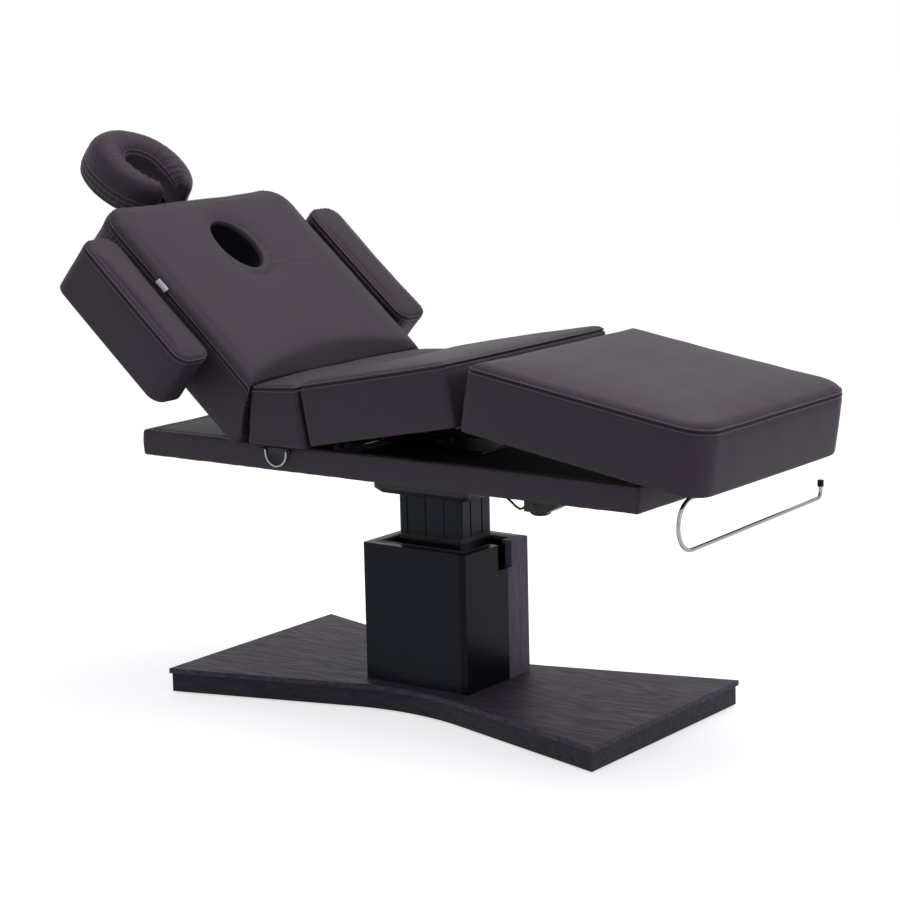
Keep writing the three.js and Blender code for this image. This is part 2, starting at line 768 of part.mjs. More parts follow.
function buildBack(frame) {
  const back = placedGroup(frame, backPivotX, 0, backPivotZ, backTilt);
  const boardTop = boardDrop + backBoardThickness;
  const boardX0 = -backLength + boardInset;
  const boardX1 = -boardInset / 2;
  const boardHalf = backWidth / 2 - boardInset;
  const hole = raise(ellipseOutline(faceHoleLength / 2, faceHoleWidth / 2), 0, backTopN + crownHeight)
    .translate(-faceHoleAlong, 0, 0);
  const boardCorner = backHeadCorner - boardInset;
  const boardOutline = (grow) => roundedOutline((boardX1 - boardX0) / 2 + grow, boardHalf + grow,
    [smallCorner, boardCorner, boardCorner, smallCorner], 6);
  const boardMiddle = (boardX0 + boardX1) / 2;
  const pocket = raise(boardOutline(seatGap), boardDrop - cutOver, boardTop + seatGap).translate(boardMiddle, 0, 0);
  const tongueSlots = [];
  for (const along of tonguePlaces()) {
    for (const side of [-1, 1]) {
      const y0 = backWidth / 2 - tongueReach;
      const y1 = backWidth / 2 + cutOver;
      const low = boardDrop + backBoardThickness / 2 - tongueThickness / 2 - runGap;
      const slot = box(-along - tongueWidth / 2 - runGap, -along + tongueWidth / 2 + runGap,
        Math.min(side * y0, side * y1), Math.max(side * y0, side * y1), low, low + tongueThickness + runGap * 2);
      tongueSlots.push(slot);
    }
  }
  const clear = backClearance(seatGap * 4);
  const pad = cut(backPad(backWidth, backTopN), hole, pocket, ...tongueSlots, ...clear);
  add(back, 'back_cushion', pad, vinyl);
  const board = raise(boardOutline(0), boardDrop, boardTop).translate(boardMiddle, 0, 0);
  add(back, 'back_board', cut(board, hole, ...tongueSlots), plywood);
  add(back, 'back_fold', buildFold(), vinyl);
  add(back, 'back_hinge_shaft', hingeShaft(boardDrop, -1, actuatorY, backLeverFlat, backReach), blackSteel);
  buildHeadSockets(back);
  buildHeadrest(back);
  buildArmrest(back, 'near', -1);
  buildArmrest(back, 'far', 1);
}

// The soft fold of vinyl and foam that fills the notch between the back cushion and the block
function buildFold() {
  const [flat, atRest, ...steeper] = backClearance(seatGap * 2).map((tool) => toSolid(tool));
  const notch = steeper.reduce((a, b) => a.add(b));
  const fold = toSolid(backPad(backWidth - seatGap * 2, backTopN - seatGap));
  return toGeometry(fold.intersect(notch).subtract(atRest).subtract(flat));
}

function tonguePlaces() {
  const span = armHigh - armLow;
  return [armLow + span / 4, armHigh - span / 4];
}

// Armrest: a narrow cushion with a plate on its inner side and two tongues into the back board
function buildArmrest(back, label, side) {
  const top = backTopN - armTopDrop;
  const bottom = top - armHeight;
  const length = armHigh - armLow;
  const innerY = backWidth / 2 + armGap;
  const radii = [armCorner, armCorner, armCorner, armCorner];
  const pad = cushion(length, armWidth, bottom, top, radii, armEdge, crownHeight / 2)
    .translate(-(armLow + armHigh) / 2, side * (innerY + armWidth / 2), 0);
  add(back, `armrest_${label}_cushion`, pad, vinyl);
  const mid = boardDrop + backBoardThickness / 2;
  const plateY0 = innerY - seatGap - armPlateThickness;
  const plateY1 = innerY - seatGap;
  const span = (y0, y1) => [Math.min(side * y0, side * y1), Math.max(side * y0, side * y1)];
  const pieces = [box(-armHigh + armPlateInset, -armLow - armPlateInset, ...span(plateY0, plateY1),
    mid - armPlateHeight / 2, mid + armPlateHeight / 2)];
  for (const along of tonguePlaces()) {
    pieces.push(box(-along - tongueWidth / 2, -along + tongueWidth / 2,
      ...span(backWidth / 2 - tongueReach + cutOver, plateY0 + armPlateThickness / 2),
      mid - tongueThickness / 2, mid + tongueThickness / 2));
  }
  add(back, `armrest_${label}_bracket`, join(...pieces), blackSteel);
}

// Headrest sockets: two bored blocks on one plate under the back board
function buildHeadSockets(back) {
  const half = headSocketWidth / 2;
  const x0 = -headSocketStart - headSocketLength;
  const x1 = -headSocketStart;
  const plate = box(x0, x0 + headSocketWidth, -headRodY, headRodY, boardDrop - seatGap - flangeThickness,
    boardDrop - seatGap);
  const blocks = [];
  const bores = [];
  for (const side of [-1, 1]) {
    const y = side * headRodY;
    blocks.push(box(x0, x1, y - half, y + half, headRodDrop - half, boardDrop - seatGap));
    bores.push(bar('x', headRodRadius + runGap, x0 - cutOver, x1 + cutOver, 16).translate(0, y, headRodDrop));
  }
  add(back, 'headrest_socket', cut(join(plate, ...blocks), ...bores), blackSteel);
}

// The horseshoe's centre line: an open ring whose mouth faces the back section
function horseshoePoint(share) {
  const open = rad(headMouthAngle);
  const a = -open - share * (2 * Math.PI - 2 * open);
  return new THREE.Vector3(headRadius * Math.cos(a), headRadius * Math.sin(a), 0);
}

// The pad is a rounded section carried round the horseshoe, drawn in to a blunt end at each horn
const sectionPoints = 16;
const sectionSquareness = 2.6;   // 2 is an ellipse, more is boxier
function sectionShares() {
  const shares = [];
  for (let k = 0; k < sectionPoints; k += 1) {
    const a = 2 * Math.PI * k / sectionPoints;
    const power = 2 / sectionSquareness;
    const u = Math.sign(Math.cos(a)) * Math.abs(Math.cos(a)) ** power;
    const v = Math.sign(Math.sin(a)) * Math.abs(Math.sin(a)) ** power;
    shares.push([u, v]);
  }
  return shares;
}

const hornShares = [0, 0.012, 0.035, 0.07];
const hornSizeShares = [0.62, 0.86, 0.96, 1];
function horseshoePad(bottom, height, width) {
  const mids = 20;
  const stations = [];
  hornShares.forEach((share, i) => stations.push([share, hornSizeShares[i]]));
  const last = hornShares[hornShares.length - 1];
  for (let k = 1; k < mids; k += 1) stations.push([last + (1 - 2 * last) * k / mids, 1]);
  [...hornShares].reverse().forEach((share, i) => stations.push([1 - share, [...hornSizeShares].reverse()[i]]));
  const rings = stations.map(([share, size]) => {
    const centre = horseshoePoint(share);
    const outward = centre.clone().normalize();
    return sectionShares().map(([u, v]) => {
      const half = height / 2;
      const p = centre.clone().addScaledVector(outward, u * size * width / 2);
      p.z = bottom + half + v * half * (v < 0 ? 1 : size);
      return p;
    });
  });
  const mid = (ring) => ring.reduce((a, b) => a.add(b), new THREE.Vector3()).divideScalar(ring.length);
  const first = mid(rings[0].map((p) => p.clone()));
  const end = mid(rings[rings.length - 1].map((p) => p.clone()));
  return skin(rings.map((ring) => ring.slice()), first, end);
}

function buildHeadrest(back) {
  const rods = [];
  for (const side of [-1, 1]) {
    rods.push(bar('x', headRodRadius, -headHingeAlong, -headRodInner, 16).translate(0, side * headRodY, headRodDrop));
  }
  rods.push(bar('y', headBarRadius, -headBarHalf, headBarHalf, 20).translate(-headHingeAlong, 0, headRodDrop));
  add(back, 'headrest_rods', join(...rods), chromed);
  const head = placedGroup(back, -headHingeAlong, 0, headRodDrop, headTilt);
  const boardTop = headBoardLift + headBoardThickness;
  const pad = horseshoePad(boardTop + seatGap, headPadHeight, headPadWidth).translate(-headCentre, 0, 0);
  add(head, 'headrest_cushion', pad, vinyl);
  const plate = raise(horseshoeOutline(headPadWidth / 2 - boardInset / 2), headBoardLift, boardTop)
    .translate(-headCentre, 0, 0);
  const lugs = [];
  for (const side of [-1, 1]) {
    const y = side * headLugY;
    const reach = headBarRadius + runGap + flangeThickness;
    lugs.push(box(-headRadius / 2, reach, y - headLugThickness / 2, y + headLugThickness / 2,
      -reach, headBoardLift + headBoardThickness / 2));
  }
  const bore = bar('y', headBarRadius + runGap, -headBarHalf, headBarHalf, 20);
  add(head, 'headrest_board', cut(join(plate, ...lugs), bore), plywood);
}

// A flat horseshoe of the given half width about the same centre line
function horseshoeOutline(half) {
  const count = 24;
  const outer = [];
  const inner = [];
  for (let k = 0; k <= count; k += 1) {
    const centre = horseshoePoint(headBoardShare + (1 - 2 * headBoardShare) * k / count);
    const outward = centre.clone().normalize();
    const o = centre.clone().addScaledVector(outward, half);
    const i = centre.clone().addScaledVector(outward, -half);
    outer.push(new THREE.Vector2(o.x, o.y));
    inner.push(new THREE.Vector2(i.x, i.y));
  }
  return [...outer, ...inner.reverse()];
}

// Seat section
const seatLeverFlat = seatSwing / 2;
const seatReach = leverReach(seatPivotZ - actuatorZ, [seatLeverFlat, seatLeverFlat - seatSwing]);

// Half of the knee hinge: a leaf under a board, with knuckles round the pin
function kneeLeaf(drop, toward, spans) {
  const x0 = toward > 0 ? 0 : -kneeLeafLength;
  const leaf = box(x0, x0 + kneeLeafLength, -kneeLeafHalf, kneeLeafHalf, kneeBarrel - kneeSink, drop - seatGap);
  const knuckles = spans.map(([y0, y1]) => bar('y', kneeBarrel, y0, y1, 20));
  const gaps = kneeSpans(-toward).map(([y0, y1]) => bar('y', kneeBarrel + seatGap, y0 - seatGap, y1 + seatGap, 20));
  const bore = bar('y', kneePinRadius + runGap, -kneeLeafHalf - cutOver, kneeLeafHalf + cutOver, 16);
  return cut(join(leaf, ...knuckles), bore, ...gaps);
}

// The seat's leaf has the two outer knuckles, the leg's leaf the middle one
function kneeSpans(toward) {
  if (toward > 0) return [[-kneeKnuckleHalf, kneeKnuckleHalf]];
  return [[-kneeLeafHalf, -kneeKnuckleHalf - seatGap], [kneeKnuckleHalf + seatGap, kneeLeafHalf]];
}

function buildSeat(frame) {
  const seat = placedGroup(frame, seatPivotX, 0, seatPivotZ, -seatTilt);
  const bottom = seatDrop;
  const length = seatLength + seatRearEnd;
  const radii = [smallCorner, smallCorner, smallCorner, smallCorner];
  const pad = cushion(length, seatWidth, bottom, bottom + seatThickness, radii, cushionEdge, crownHeight)
    .translate(length / 2 - seatRearEnd, 0, 0);
  const boardHalf = seatWidth / 2 - boardInset;
  const x0 = -seatRearEnd + boardInset;
  const x1 = seatLength - boardInset;
  const pocket = box(x0 - seatGap, x1 + seatGap, -boardHalf - seatGap, boardHalf + seatGap,
    bottom - cutOver, bottom + boardThickness + seatGap);
  add(seat, 'seat_cushion', cut(pad, pocket), vinyl);
  add(seat, 'seat_board', box(x0, x1, -boardHalf, boardHalf, bottom, bottom + boardThickness), plywood);
  add(seat, 'seat_hinge_shaft', hingeShaft(seatDrop, 1, -actuatorY, seatLeverFlat, seatReach), blackSteel);
  const knee = placedGroup(seat, seatLength, 0, 0, 0);
  add(knee, 'knee_leaf_seat', kneeLeaf(seatDrop, -1, kneeSpans(-1)), blackSteel);
  buildLeg(placedGroup(seat, seatLength, 0, 0, seatTilt + legTilt));
}

// Leg section, with the pins of the knee and the paper-roll holder
function buildLeg(leg) {
  const bottom = legDrop;
  const radii = [legFootCorner, smallCorner, smallCorner, legFootCorner];
  const pad = cushion(legLength, legWidth, bottom, bottom + legThickness, radii, cushionEdge, crownHeight)
    .translate(legKneeGap + legLength / 2, 0, 0);
  const boardHalf = legWidth / 2 - boardInset;
  const x0 = legKneeGap + boardInset;
  const x1 = legKneeGap + legLength - boardInset;
  const corner = legFootCorner - boardInset;
  const boardOutline = (grow) => roundedOutline((x1 - x0) / 2 + grow, boardHalf + grow,
    [corner, smallCorner, smallCorner, corner], 6);
  const pocket = raise(boardOutline(seatGap), bottom - cutOver, bottom + boardThickness + seatGap)
    .translate((x0 + x1) / 2, 0, 0);
  add(leg, 'leg_cushion', cut(pad, pocket), vinyl);
  const board = raise(boardOutline(0), bottom, bottom + boardThickness).translate((x0 + x1) / 2, 0, 0);
  add(leg, 'leg_board', board, plywood);
  const pin = bar('y', kneePinRadius, -kneeLeafHalf, kneeLeafHalf, 16);
  const weld = bar('y', kneePinRadius + runGap * 2, -kneeKnuckleHalf / 2, kneeKnuckleHalf / 2, 16);
  add(leg, 'knee_leaf_leg', join(kneeLeaf(legDrop, 1, kneeSpans(1)), pin, weld), blackSteel);
}

// Paper-roll holder: a bent rod that leaves its socket sideways, turns under and runs across
function buildPaperHolder(root) {
  const bendZ = paperTopZ - paperBend;
  const at = (y, z) => new THREE.Vector3(paperX, y, z);
  const low = bendZ - paperBend;
  const farLow = low + paperRise;
  const turnY = paperFarY - paperHook;
  const curves = [
    new THREE.LineCurve3(at(paperSocketY, paperTopZ), at(paperNearY, paperTopZ)),
    new ArcCurve(at(paperNearY, bendZ), paperBend, 90, 270),
    new THREE.LineCurve3(at(paperNearY, low), at(turnY, farLow)),
    new ArcCurve(at(turnY, farLow + paperHook), paperHook, 270, 360),
    new THREE.LineCurve3(at(paperFarY, farLow + paperHook), at(paperFarY, farLow + paperHook + paperUpright)),
  ];
  const rod = sweep(pathPoints(curves, [1, 10, 1, 4, 1]), paperRod, 8, new THREE.Vector3(1, 0, 0));
  add(root, 'paper_holder_rod', rod, chromed);
  const capFoot = farLow + paperHook + paperUpright - paperCapLength / 2;
  const cap = bar('z', paperCapRadius, capFoot, capFoot + paperCapLength, 16);
  const capBore = bar('z', paperRod + seatGap, capFoot - cutOver, capFoot + paperCapLength / 2 + seatGap, 12);
  add(root, 'paper_holder_cap', cut(cap, capBore).translate(paperX, paperFarY, 0), rubber);
}

// An arc in a plane of constant X, from one angle to another, angles in degrees from +Y
class ArcCurve extends THREE.Curve {
  constructor(centre, radius, from, to) {
    super();
    this.centre = centre;
    this.radius = radius;
    this.from = rad(from);
    this.to = rad(to);
  }

  getPoint(t, target = new THREE.Vector3()) {
    const a = this.from + (this.to - this.from) * t;
    return target.set(this.centre.x, this.centre.y + this.radius * Math.cos(a), this.centre.z + this.radius * Math.sin(a));
  }
}

// A round bar swept along a row of points; the crosswise direction keeps the rings from turning
function sweep(points, radius, sides, across) {
  const rings = points.map((p, i) => {
    const before = points[Math.max(i - 1, 0)];
    const after = points[Math.min(i + 1, points.length - 1)];
    const tangent = new THREE.Vector3().subVectors(after, before).normalize();
    const up = new THREE.Vector3().crossVectors(tangent, across).normalize();
    const beside = new THREE.Vector3().crossVectors(up, tangent);
    const ring = [];
    for (let k = 0; k < sides; k += 1) {
      const a = 2 * Math.PI * k / sides;
      ring.push(p.clone().addScaledVector(beside, radius * Math.cos(a)).addScaledVector(up, radius * Math.sin(a)));
    }
    return ring;
  });
  return skin(rings, points[0], points[points.length - 1]);
}

// Points along joined curves, with its own number of steps on each
function pathPoints(curves, steps) {
  const points = [];
  curves.forEach((curve, i) => {
    for (let k = i ? 1 : 0; k <= steps[i]; k += 1) points.push(curve.getPoint(k / steps[i]));
  });
  return points;
}

function buildPaperSocket(root) {
  const half = paperSocketSize / 2;
  const bore = bar('y', paperRod + seatGap, paperSocketY - half - cutOver, paperSocketY + half / 2, 12)
    .translate(paperX, 0, paperTopZ);
  const kneeX = seatPivotX + seatLength * Math.cos(rad(seatTilt));
  const kneeZ = seatPivotZ + seatLength * Math.sin(rad(seatTilt));
  const slope = Math.tan(rad(legTilt));
  const underside = (x) => kneeZ + legDrop / Math.cos(rad(legTilt)) - (x - kneeX) * slope - seatGap;
  const profile = [
    new THREE.Vector2(paperX - half, paperTopZ - half),
    new THREE.Vector2(paperX + half, paperTopZ - half),
    new THREE.Vector2(paperX + half, underside(paperX + half)),
    new THREE.Vector2(paperX - half, underside(paperX - half)),
  ];
  const body = carry(profile, paperSocketY - half, paperSocketY + half);
  add(root, 'paper_holder_socket', cut(body, bore), blackSteel);
}

// Motors: a housing fixed under the frame, and a rod whose forked end pushes a lever's pin
function rodSolid(length) {
  const cheekY = leverThickness / 2 + pushPinPlay;
  const forkY = cheekY + forkCheek;
  const heelEnd = forkReach + forkCheek;
  const parts = [bar('x', rodRadius, forkReach, length, 18)];
  for (const side of [-1, 1]) {
    const y0 = Math.min(side * cheekY, side * forkY);
    parts.push(box(-forkHeight / 2, heelEnd, y0, y0 + forkCheek, -forkHeight / 2, forkHeight / 2));
  }
  parts.push(box(forkReach, heelEnd, -forkY, forkY, -forkHeight / 2, forkHeight / 2));
  parts.push(bar('y', pushPin, -forkY, forkY, 16));
  return join(...parts);
}

function housingSolid(tubeLength) {
  const gearEnd = tubeLength + gearboxLength;
  const down = (z) => z - actuatorZ;
  const tube = bar('x', tubeRadius, 0, tubeLength + cutOver, 24);
  const gear = carry([
    new THREE.Vector2(tubeLength, down(gearboxTop)),
    new THREE.Vector2(tubeLength, down(gearboxBottom)),
    new THREE.Vector2(tubeLength + motorRadius * 2, down(gearboxBottom)),
    new THREE.Vector2(gearEnd, down(gearboxTail)),
    new THREE.Vector2(gearEnd, down(gearboxTop)),
  ], -gearboxWidth / 2, gearboxWidth / 2);
  const motor = new THREE.LatheGeometry(motorOutline(gearboxTail - motorBottom), 24).rotateX(Math.PI / 2)
    .translate(tubeLength + motorRadius, 0, down(motorBottom));
  const clevis = box(gearEnd - cutOver, gearEnd + clevisLength, -clevisWidth / 2, clevisWidth / 2,
    -clevisWidth / 2, down(railBottom) - seatGap);
  const bore = bar('x', rodRadius + runGap, -cutOver, tubeLength, 18);
  return cut(join(tube, gear, motor, clevis), bore);
}

// The motor's rounded lower end, as a profile about its own axis
function motorOutline(height) {
  const points = [new THREE.Vector2(0, 0)];
  const steps = 4;
  for (let k = 0; k <= steps; k += 1) {
    const a = Math.PI / 2 * k / steps;
    points.push(new THREE.Vector2(motorRadius - motorTurn * (1 - Math.sin(a)), motorTurn * (1 - Math.cos(a))));
  }
  points.push(new THREE.Vector2(motorRadius, height), new THREE.Vector2(0, height));
  return points;
}

// Each motor's clevis ends under the far edge of its cross tube
function housingLength(startX, crossX) {
  return crossX + railWidth / 2 - clevisLength - gearboxLength - startX;
}

const backPinX = backPivotX - (backPivotZ - actuatorZ) * Math.tan(rad(backTilt + backLeverFlat));
const seatPinX = seatPivotX + (seatPivotZ - actuatorZ) * Math.tan(rad(seatTilt - seatLeverFlat));

function buildActuators(frame) {
  const backStart = backPinX + backRodLength / 2 + forkReach;
  const seatStart = seatPinX + seatRodLength / 2 + forkReach;
  const backPin = placedGroup(frame, backPinX, actuatorY, actuatorZ);
  const seatPin = placedGroup(frame, seatPinX, -actuatorY, actuatorZ);
  add(backPin, 'back_actuator_rod', rodSolid(backRodLength), chromed);
  add(seatPin, 'seat_actuator_rod', rodSolid(seatRodLength), chromed);
  const backBody = placedGroup(frame, backStart, actuatorY, actuatorZ);
  const seatBody = placedGroup(frame, seatStart, -actuatorY, actuatorZ);
  add(backBody, 'back_actuator', housingSolid(housingLength(backStart, crossColumnX)), blackPlastic);
  add(seatBody, 'seat_actuator', housingSolid(housingLength(seatStart, crossActuatorX)), blackPlastic);
}

// Cable: leaves the near motor's side, sags, and climbs to the underside of the near rail
function buildCable(frame) {
  const motorSide = crossActuatorX + railWidth / 2 - clevisLength - gearboxLength - seatGap;
  const startZ = motorBottom + motorTurn + cableRadius;
  const rise = railBottom - seatGap * 2 - startZ;
  const inward = railY - actuatorY;
  const at = (runShare, inShare, z) => new THREE.Vector3(motorSide - cableRun * runShare, -actuatorY - inward * inShare, z);
  const curve = new THREE.CatmullRomCurve3([
    at(0, 0, startZ),
    at(0.08, 0, startZ),
    at(0.28, 0.05, startZ - cableSag),
    at(0.6, 0.2, startZ + rise * 0.25),
    at(0.92, 0.75, startZ + rise * 0.75),
    at(1, 1, startZ + rise * 0.92),
    at(1, 1, startZ + rise),
  ]);
  add(frame, 'motor_cable', sweep(curve.getPoints(18), cableRadius, 8, new THREE.Vector3(0, 1, 0)), rubber);
}

// Hook: a wire loop whose turned ends sit in two eyes on a small plate
function buildHook(frame) {
  const plateY = -frameWidth / 2 - seatGap - hookPlateThickness;
  const pivotY = plateY - hookEyeRadius + hookPlateThickness / 2;
  const hook = placedGroup(frame, hookX, pivotY, hookPivotZ);
  const corner = hookWire;
  const points = [
    new THREE.Vector3(-hookRadius - hookEnd, 0, 0),
    new THREE.Vector3(-hookRadius - corner, 0, 0),
    new THREE.Vector3(-hookRadius, 0, -corner),
  ];
  const steps = 12;
  for (let k = 0; k <= steps; k += 1) {
    const a = Math.PI * (1 + k / steps);
    points.push(new THREE.Vector3(hookRadius * Math.cos(a), 0, hookRadius * Math.sin(a) - hookDrop));
  }
  points.push(
    new THREE.Vector3(hookRadius, 0, -corner),
    new THREE.Vector3(hookRadius + corner, 0, 0),
    new THREE.Vector3(hookRadius + hookEnd, 0, 0),
  );
  add(hook, 'hook_loop', sweep(points, hookWire, 8, new THREE.Vector3(0, 1, 0)), chromed);
  const outer = hookRadius + hookEnd;
  const plate = box(-outer, outer, plateY - pivotY, plateY - pivotY + hookPlateThickness, -hookEyeRadius * 2, hookEyeRadius);
  const eyes = [-1, 1].map((side) => {
    const mid = side * (outer - hookEyeLength / 2);
    return bar('x', hookEyeRadius, mid - hookEyeLength / 2, mid + hookEyeLength / 2, 16);
  });
  const bore = bar('x', hookWire + runGap, -outer - cutOver, outer + cutOver, 12);
  add(hook, 'hook_plate', cut(join(plate, ...eyes), bore), chromed);
}

const model = new THREE.Group();
buildBase(model);
buildCover(model);
buildColumnRoot(model);
buildColumnMiddle(model);
buildColumnTop(model);
buildTray(model);
buildRails(model);
buildFramePanels(model);
buildLegStrip(model);
buildBlock(model);
buildBack(model);
buildSeat(model);
buildPaperHolder(model);
buildPaperSocket(model);
buildActuators(model);
buildCable(model);
buildHook(model);

export default model;
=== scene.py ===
import json
from math import cos, radians, sin

import bpy
import numpy as np
from mathutils import Matrix, Vector


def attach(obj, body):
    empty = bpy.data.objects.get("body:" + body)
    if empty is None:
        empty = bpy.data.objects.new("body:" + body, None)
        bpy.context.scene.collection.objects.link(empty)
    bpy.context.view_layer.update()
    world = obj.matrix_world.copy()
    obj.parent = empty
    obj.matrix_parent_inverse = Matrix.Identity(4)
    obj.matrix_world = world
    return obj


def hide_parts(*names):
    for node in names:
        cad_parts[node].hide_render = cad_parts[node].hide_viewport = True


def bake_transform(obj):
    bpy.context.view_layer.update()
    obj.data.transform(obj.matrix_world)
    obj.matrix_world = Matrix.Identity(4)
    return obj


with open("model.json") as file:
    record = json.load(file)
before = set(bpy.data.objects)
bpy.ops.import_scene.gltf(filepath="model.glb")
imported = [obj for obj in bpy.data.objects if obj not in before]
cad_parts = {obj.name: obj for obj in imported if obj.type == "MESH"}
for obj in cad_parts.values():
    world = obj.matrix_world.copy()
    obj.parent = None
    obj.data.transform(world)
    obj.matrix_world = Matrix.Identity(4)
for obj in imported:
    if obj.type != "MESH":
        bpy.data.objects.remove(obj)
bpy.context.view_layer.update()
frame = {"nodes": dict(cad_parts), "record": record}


# Camera
# A long lens on a stand, a little above the bed and off its foot corner.
# Its place and turn were fitted to the photograph, in metres and degrees.
camera_place = Vector((3.45999, -4.65606, 1.66711))
camera_yaw = radians(36.47)
camera_pitch = radians(10.53)
camera_roll = radians(-1.34)
camera_lens_mm = 103.34

look = Vector((-sin(camera_yaw) * cos(camera_pitch), cos(camera_yaw) * cos(camera_pitch), -sin(camera_pitch)))
level = Vector((cos(camera_yaw), sin(camera_yaw), 0.0))
above = level.cross(look)
right = cos(camera_roll) * level + sin(camera_roll) * above
up = cos(camera_roll) * above - sin(camera_roll) * level
camera_data = bpy.data.cameras.new("camera")
camera_data.sensor_width = 36.0
camera_data.sensor_fit = "HORIZONTAL"
camera_data.lens = camera_lens_mm
camera_data.clip_end = 60.0
camera = bpy.data.objects.new("camera", camera_data)
camera.matrix_world = Matrix((
    (right.x, up.x, -look.x, camera_place.x),
    (right.y, up.y, -look.y, camera_place.y),
    (right.z, up.z, -look.z, camera_place.z),
    (0, 0, 0, 1)))
bpy.context.scene.collection.objects.link(camera)
bpy.context.scene.camera = camera
bpy.context.scene.view_settings.view_transform = "Standard"


# Floor, world and lamps
# A white paper floor in a white studio, lit by one wide overhead softbox and by one weaker fill
# from the foot side.


def linear(hex_colour):
    """sRGB hex to linear RGBA."""
    parts = [int(hex_colour[i:i + 2], 16) / 255 for i in (1, 3, 5)]
    return [c / 12.92 if c <= 0.04045 else ((c + 0.055) / 1.055) ** 2.4 for c in parts] + [1.0]


def add_node(tree, kind, settings=None, values=None, links=None):
    """Adds one node; settings are its properties, values its sockets, links the sockets fed by others."""
    node = tree.nodes.new(kind)
    for name, value in (settings or {}).items():
        setattr(node, name, value)
    for name, value in (values or {}).items():
        node.inputs[name].default_value = value
    for name, source in (links or {}).items():
        tree.links.new(source, node.inputs[name])
    return node


def new_material(name):
    """An empty Principled material: gives the material, its node tree and its shader."""
    material = bpy.data.materials.new(name)
    material.use_nodes = True
    return material, material.node_tree, material.node_tree.nodes["Principled BSDF"]


def place_mesh(name, mesh):
    """Puts a mesh in the scene as an object at the origin."""
    piece = bpy.data.objects.new(name, mesh)
    bpy.context.scene.collection.objects.link(piece)
    return piece


def seen_directly(tree):
    """1 for rays from the camera, through glass or off a glossy surface, and 0 for all others."""
    path = add_node(tree, "ShaderNodeLightPath")
    share = path.outputs["Is Camera Ray"]
    for ray in ("Is Transmission Ray", "Is Glossy Ray"):
        share = add_node(tree, "ShaderNodeMath", {"operation": "MAXIMUM"},
                         links={0: share, 1: path.outputs[ray]}).outputs[0]
    return share


world = bpy.data.worlds.new("white studio")
bpy.context.scene.world = world
world.use_nodes = True
tree = world.node_tree
tree.nodes.clear()
room = add_node(tree, "ShaderNodeBackground", values={"Color": linear("#f4f6ff"), "Strength": 0.45})
backdrop = add_node(tree, "ShaderNodeBackground", values={"Color": linear("#ffffff"), "Strength": 1.0})
mixed = add_node(tree, "ShaderNodeMixShader",
                 links={0: seen_directly(tree), 1: room.outputs[0], 2: backdrop.outputs[0]})
add_node(tree, "ShaderNodeOutputWorld", links={"Surface": mixed.outputs[0]})

floor_half = 9.0
floor_glow = 0.62
floor_mesh = bpy.data.meshes.new("floor")
floor_mesh.from_pydata([(-floor_half, -floor_half, 0), (floor_half, -floor_half, 0),
                        (floor_half, floor_half, 0), (-floor_half, floor_half, 0)], [], [(0, 1, 2, 3)])
floor = place_mesh("floor", floor_mesh)
paper, tree, shader = new_material("white paper floor")
shader.inputs["Base Color"].default_value = linear("#f4f4f4")
shader.inputs["Roughness"].default_value = 0.9
dimmed = add_node(tree, "ShaderNodeMath", {"operation": "MULTIPLY"}, {1: floor_glow}, {0: seen_directly(tree)})
glow = add_node(tree, "ShaderNodeEmission", {}, {"Color": linear("#ffffff")}, {"Strength": dimmed.outputs[0]})
both = add_node(tree, "ShaderNodeAddShader", links={0: shader.outputs[0], 1: glow.outputs[0]})
tree.links.new(both.outputs[0], tree.nodes["Material Output"].inputs["Surface"])
floor_mesh.materials.append(paper)


def add_softbox(name, place, aim, size, power, colour):
    """A square area lamp at one point, aimed at another."""
    data = bpy.data.lights.new(name, "AREA")
    data.shape = "SQUARE"
    data.size = size
    data.energy = power
    data.color = linear(colour)[:3]
    lamp = bpy.data.objects.new(name, data)
    lamp.location = place
    lamp.rotation_euler = (Vector(aim) - Vector(place)).to_track_quat("-Z", "Y").to_euler()
    bpy.context.scene.collection.objects.link(lamp)


bed_middle = (0.0, 0.0, 0.6)
add_softbox("overhead softbox", (0.3, 0.8, 3.6), bed_middle, 2.6, 50, "#ffedf6")
add_softbox("foot fill", (4.2, -0.6, 1.6), bed_middle, 1.8, 13, "#f6f7ff")


# Base
# A bow-tie plinth of board under an embossed veneer panel that overhangs it by 5 mm, stained
# plum-black. The core is glued up from bent and straight boards and stands on rubber glides.
grain_width = 0.0045
figure_width = 0.055


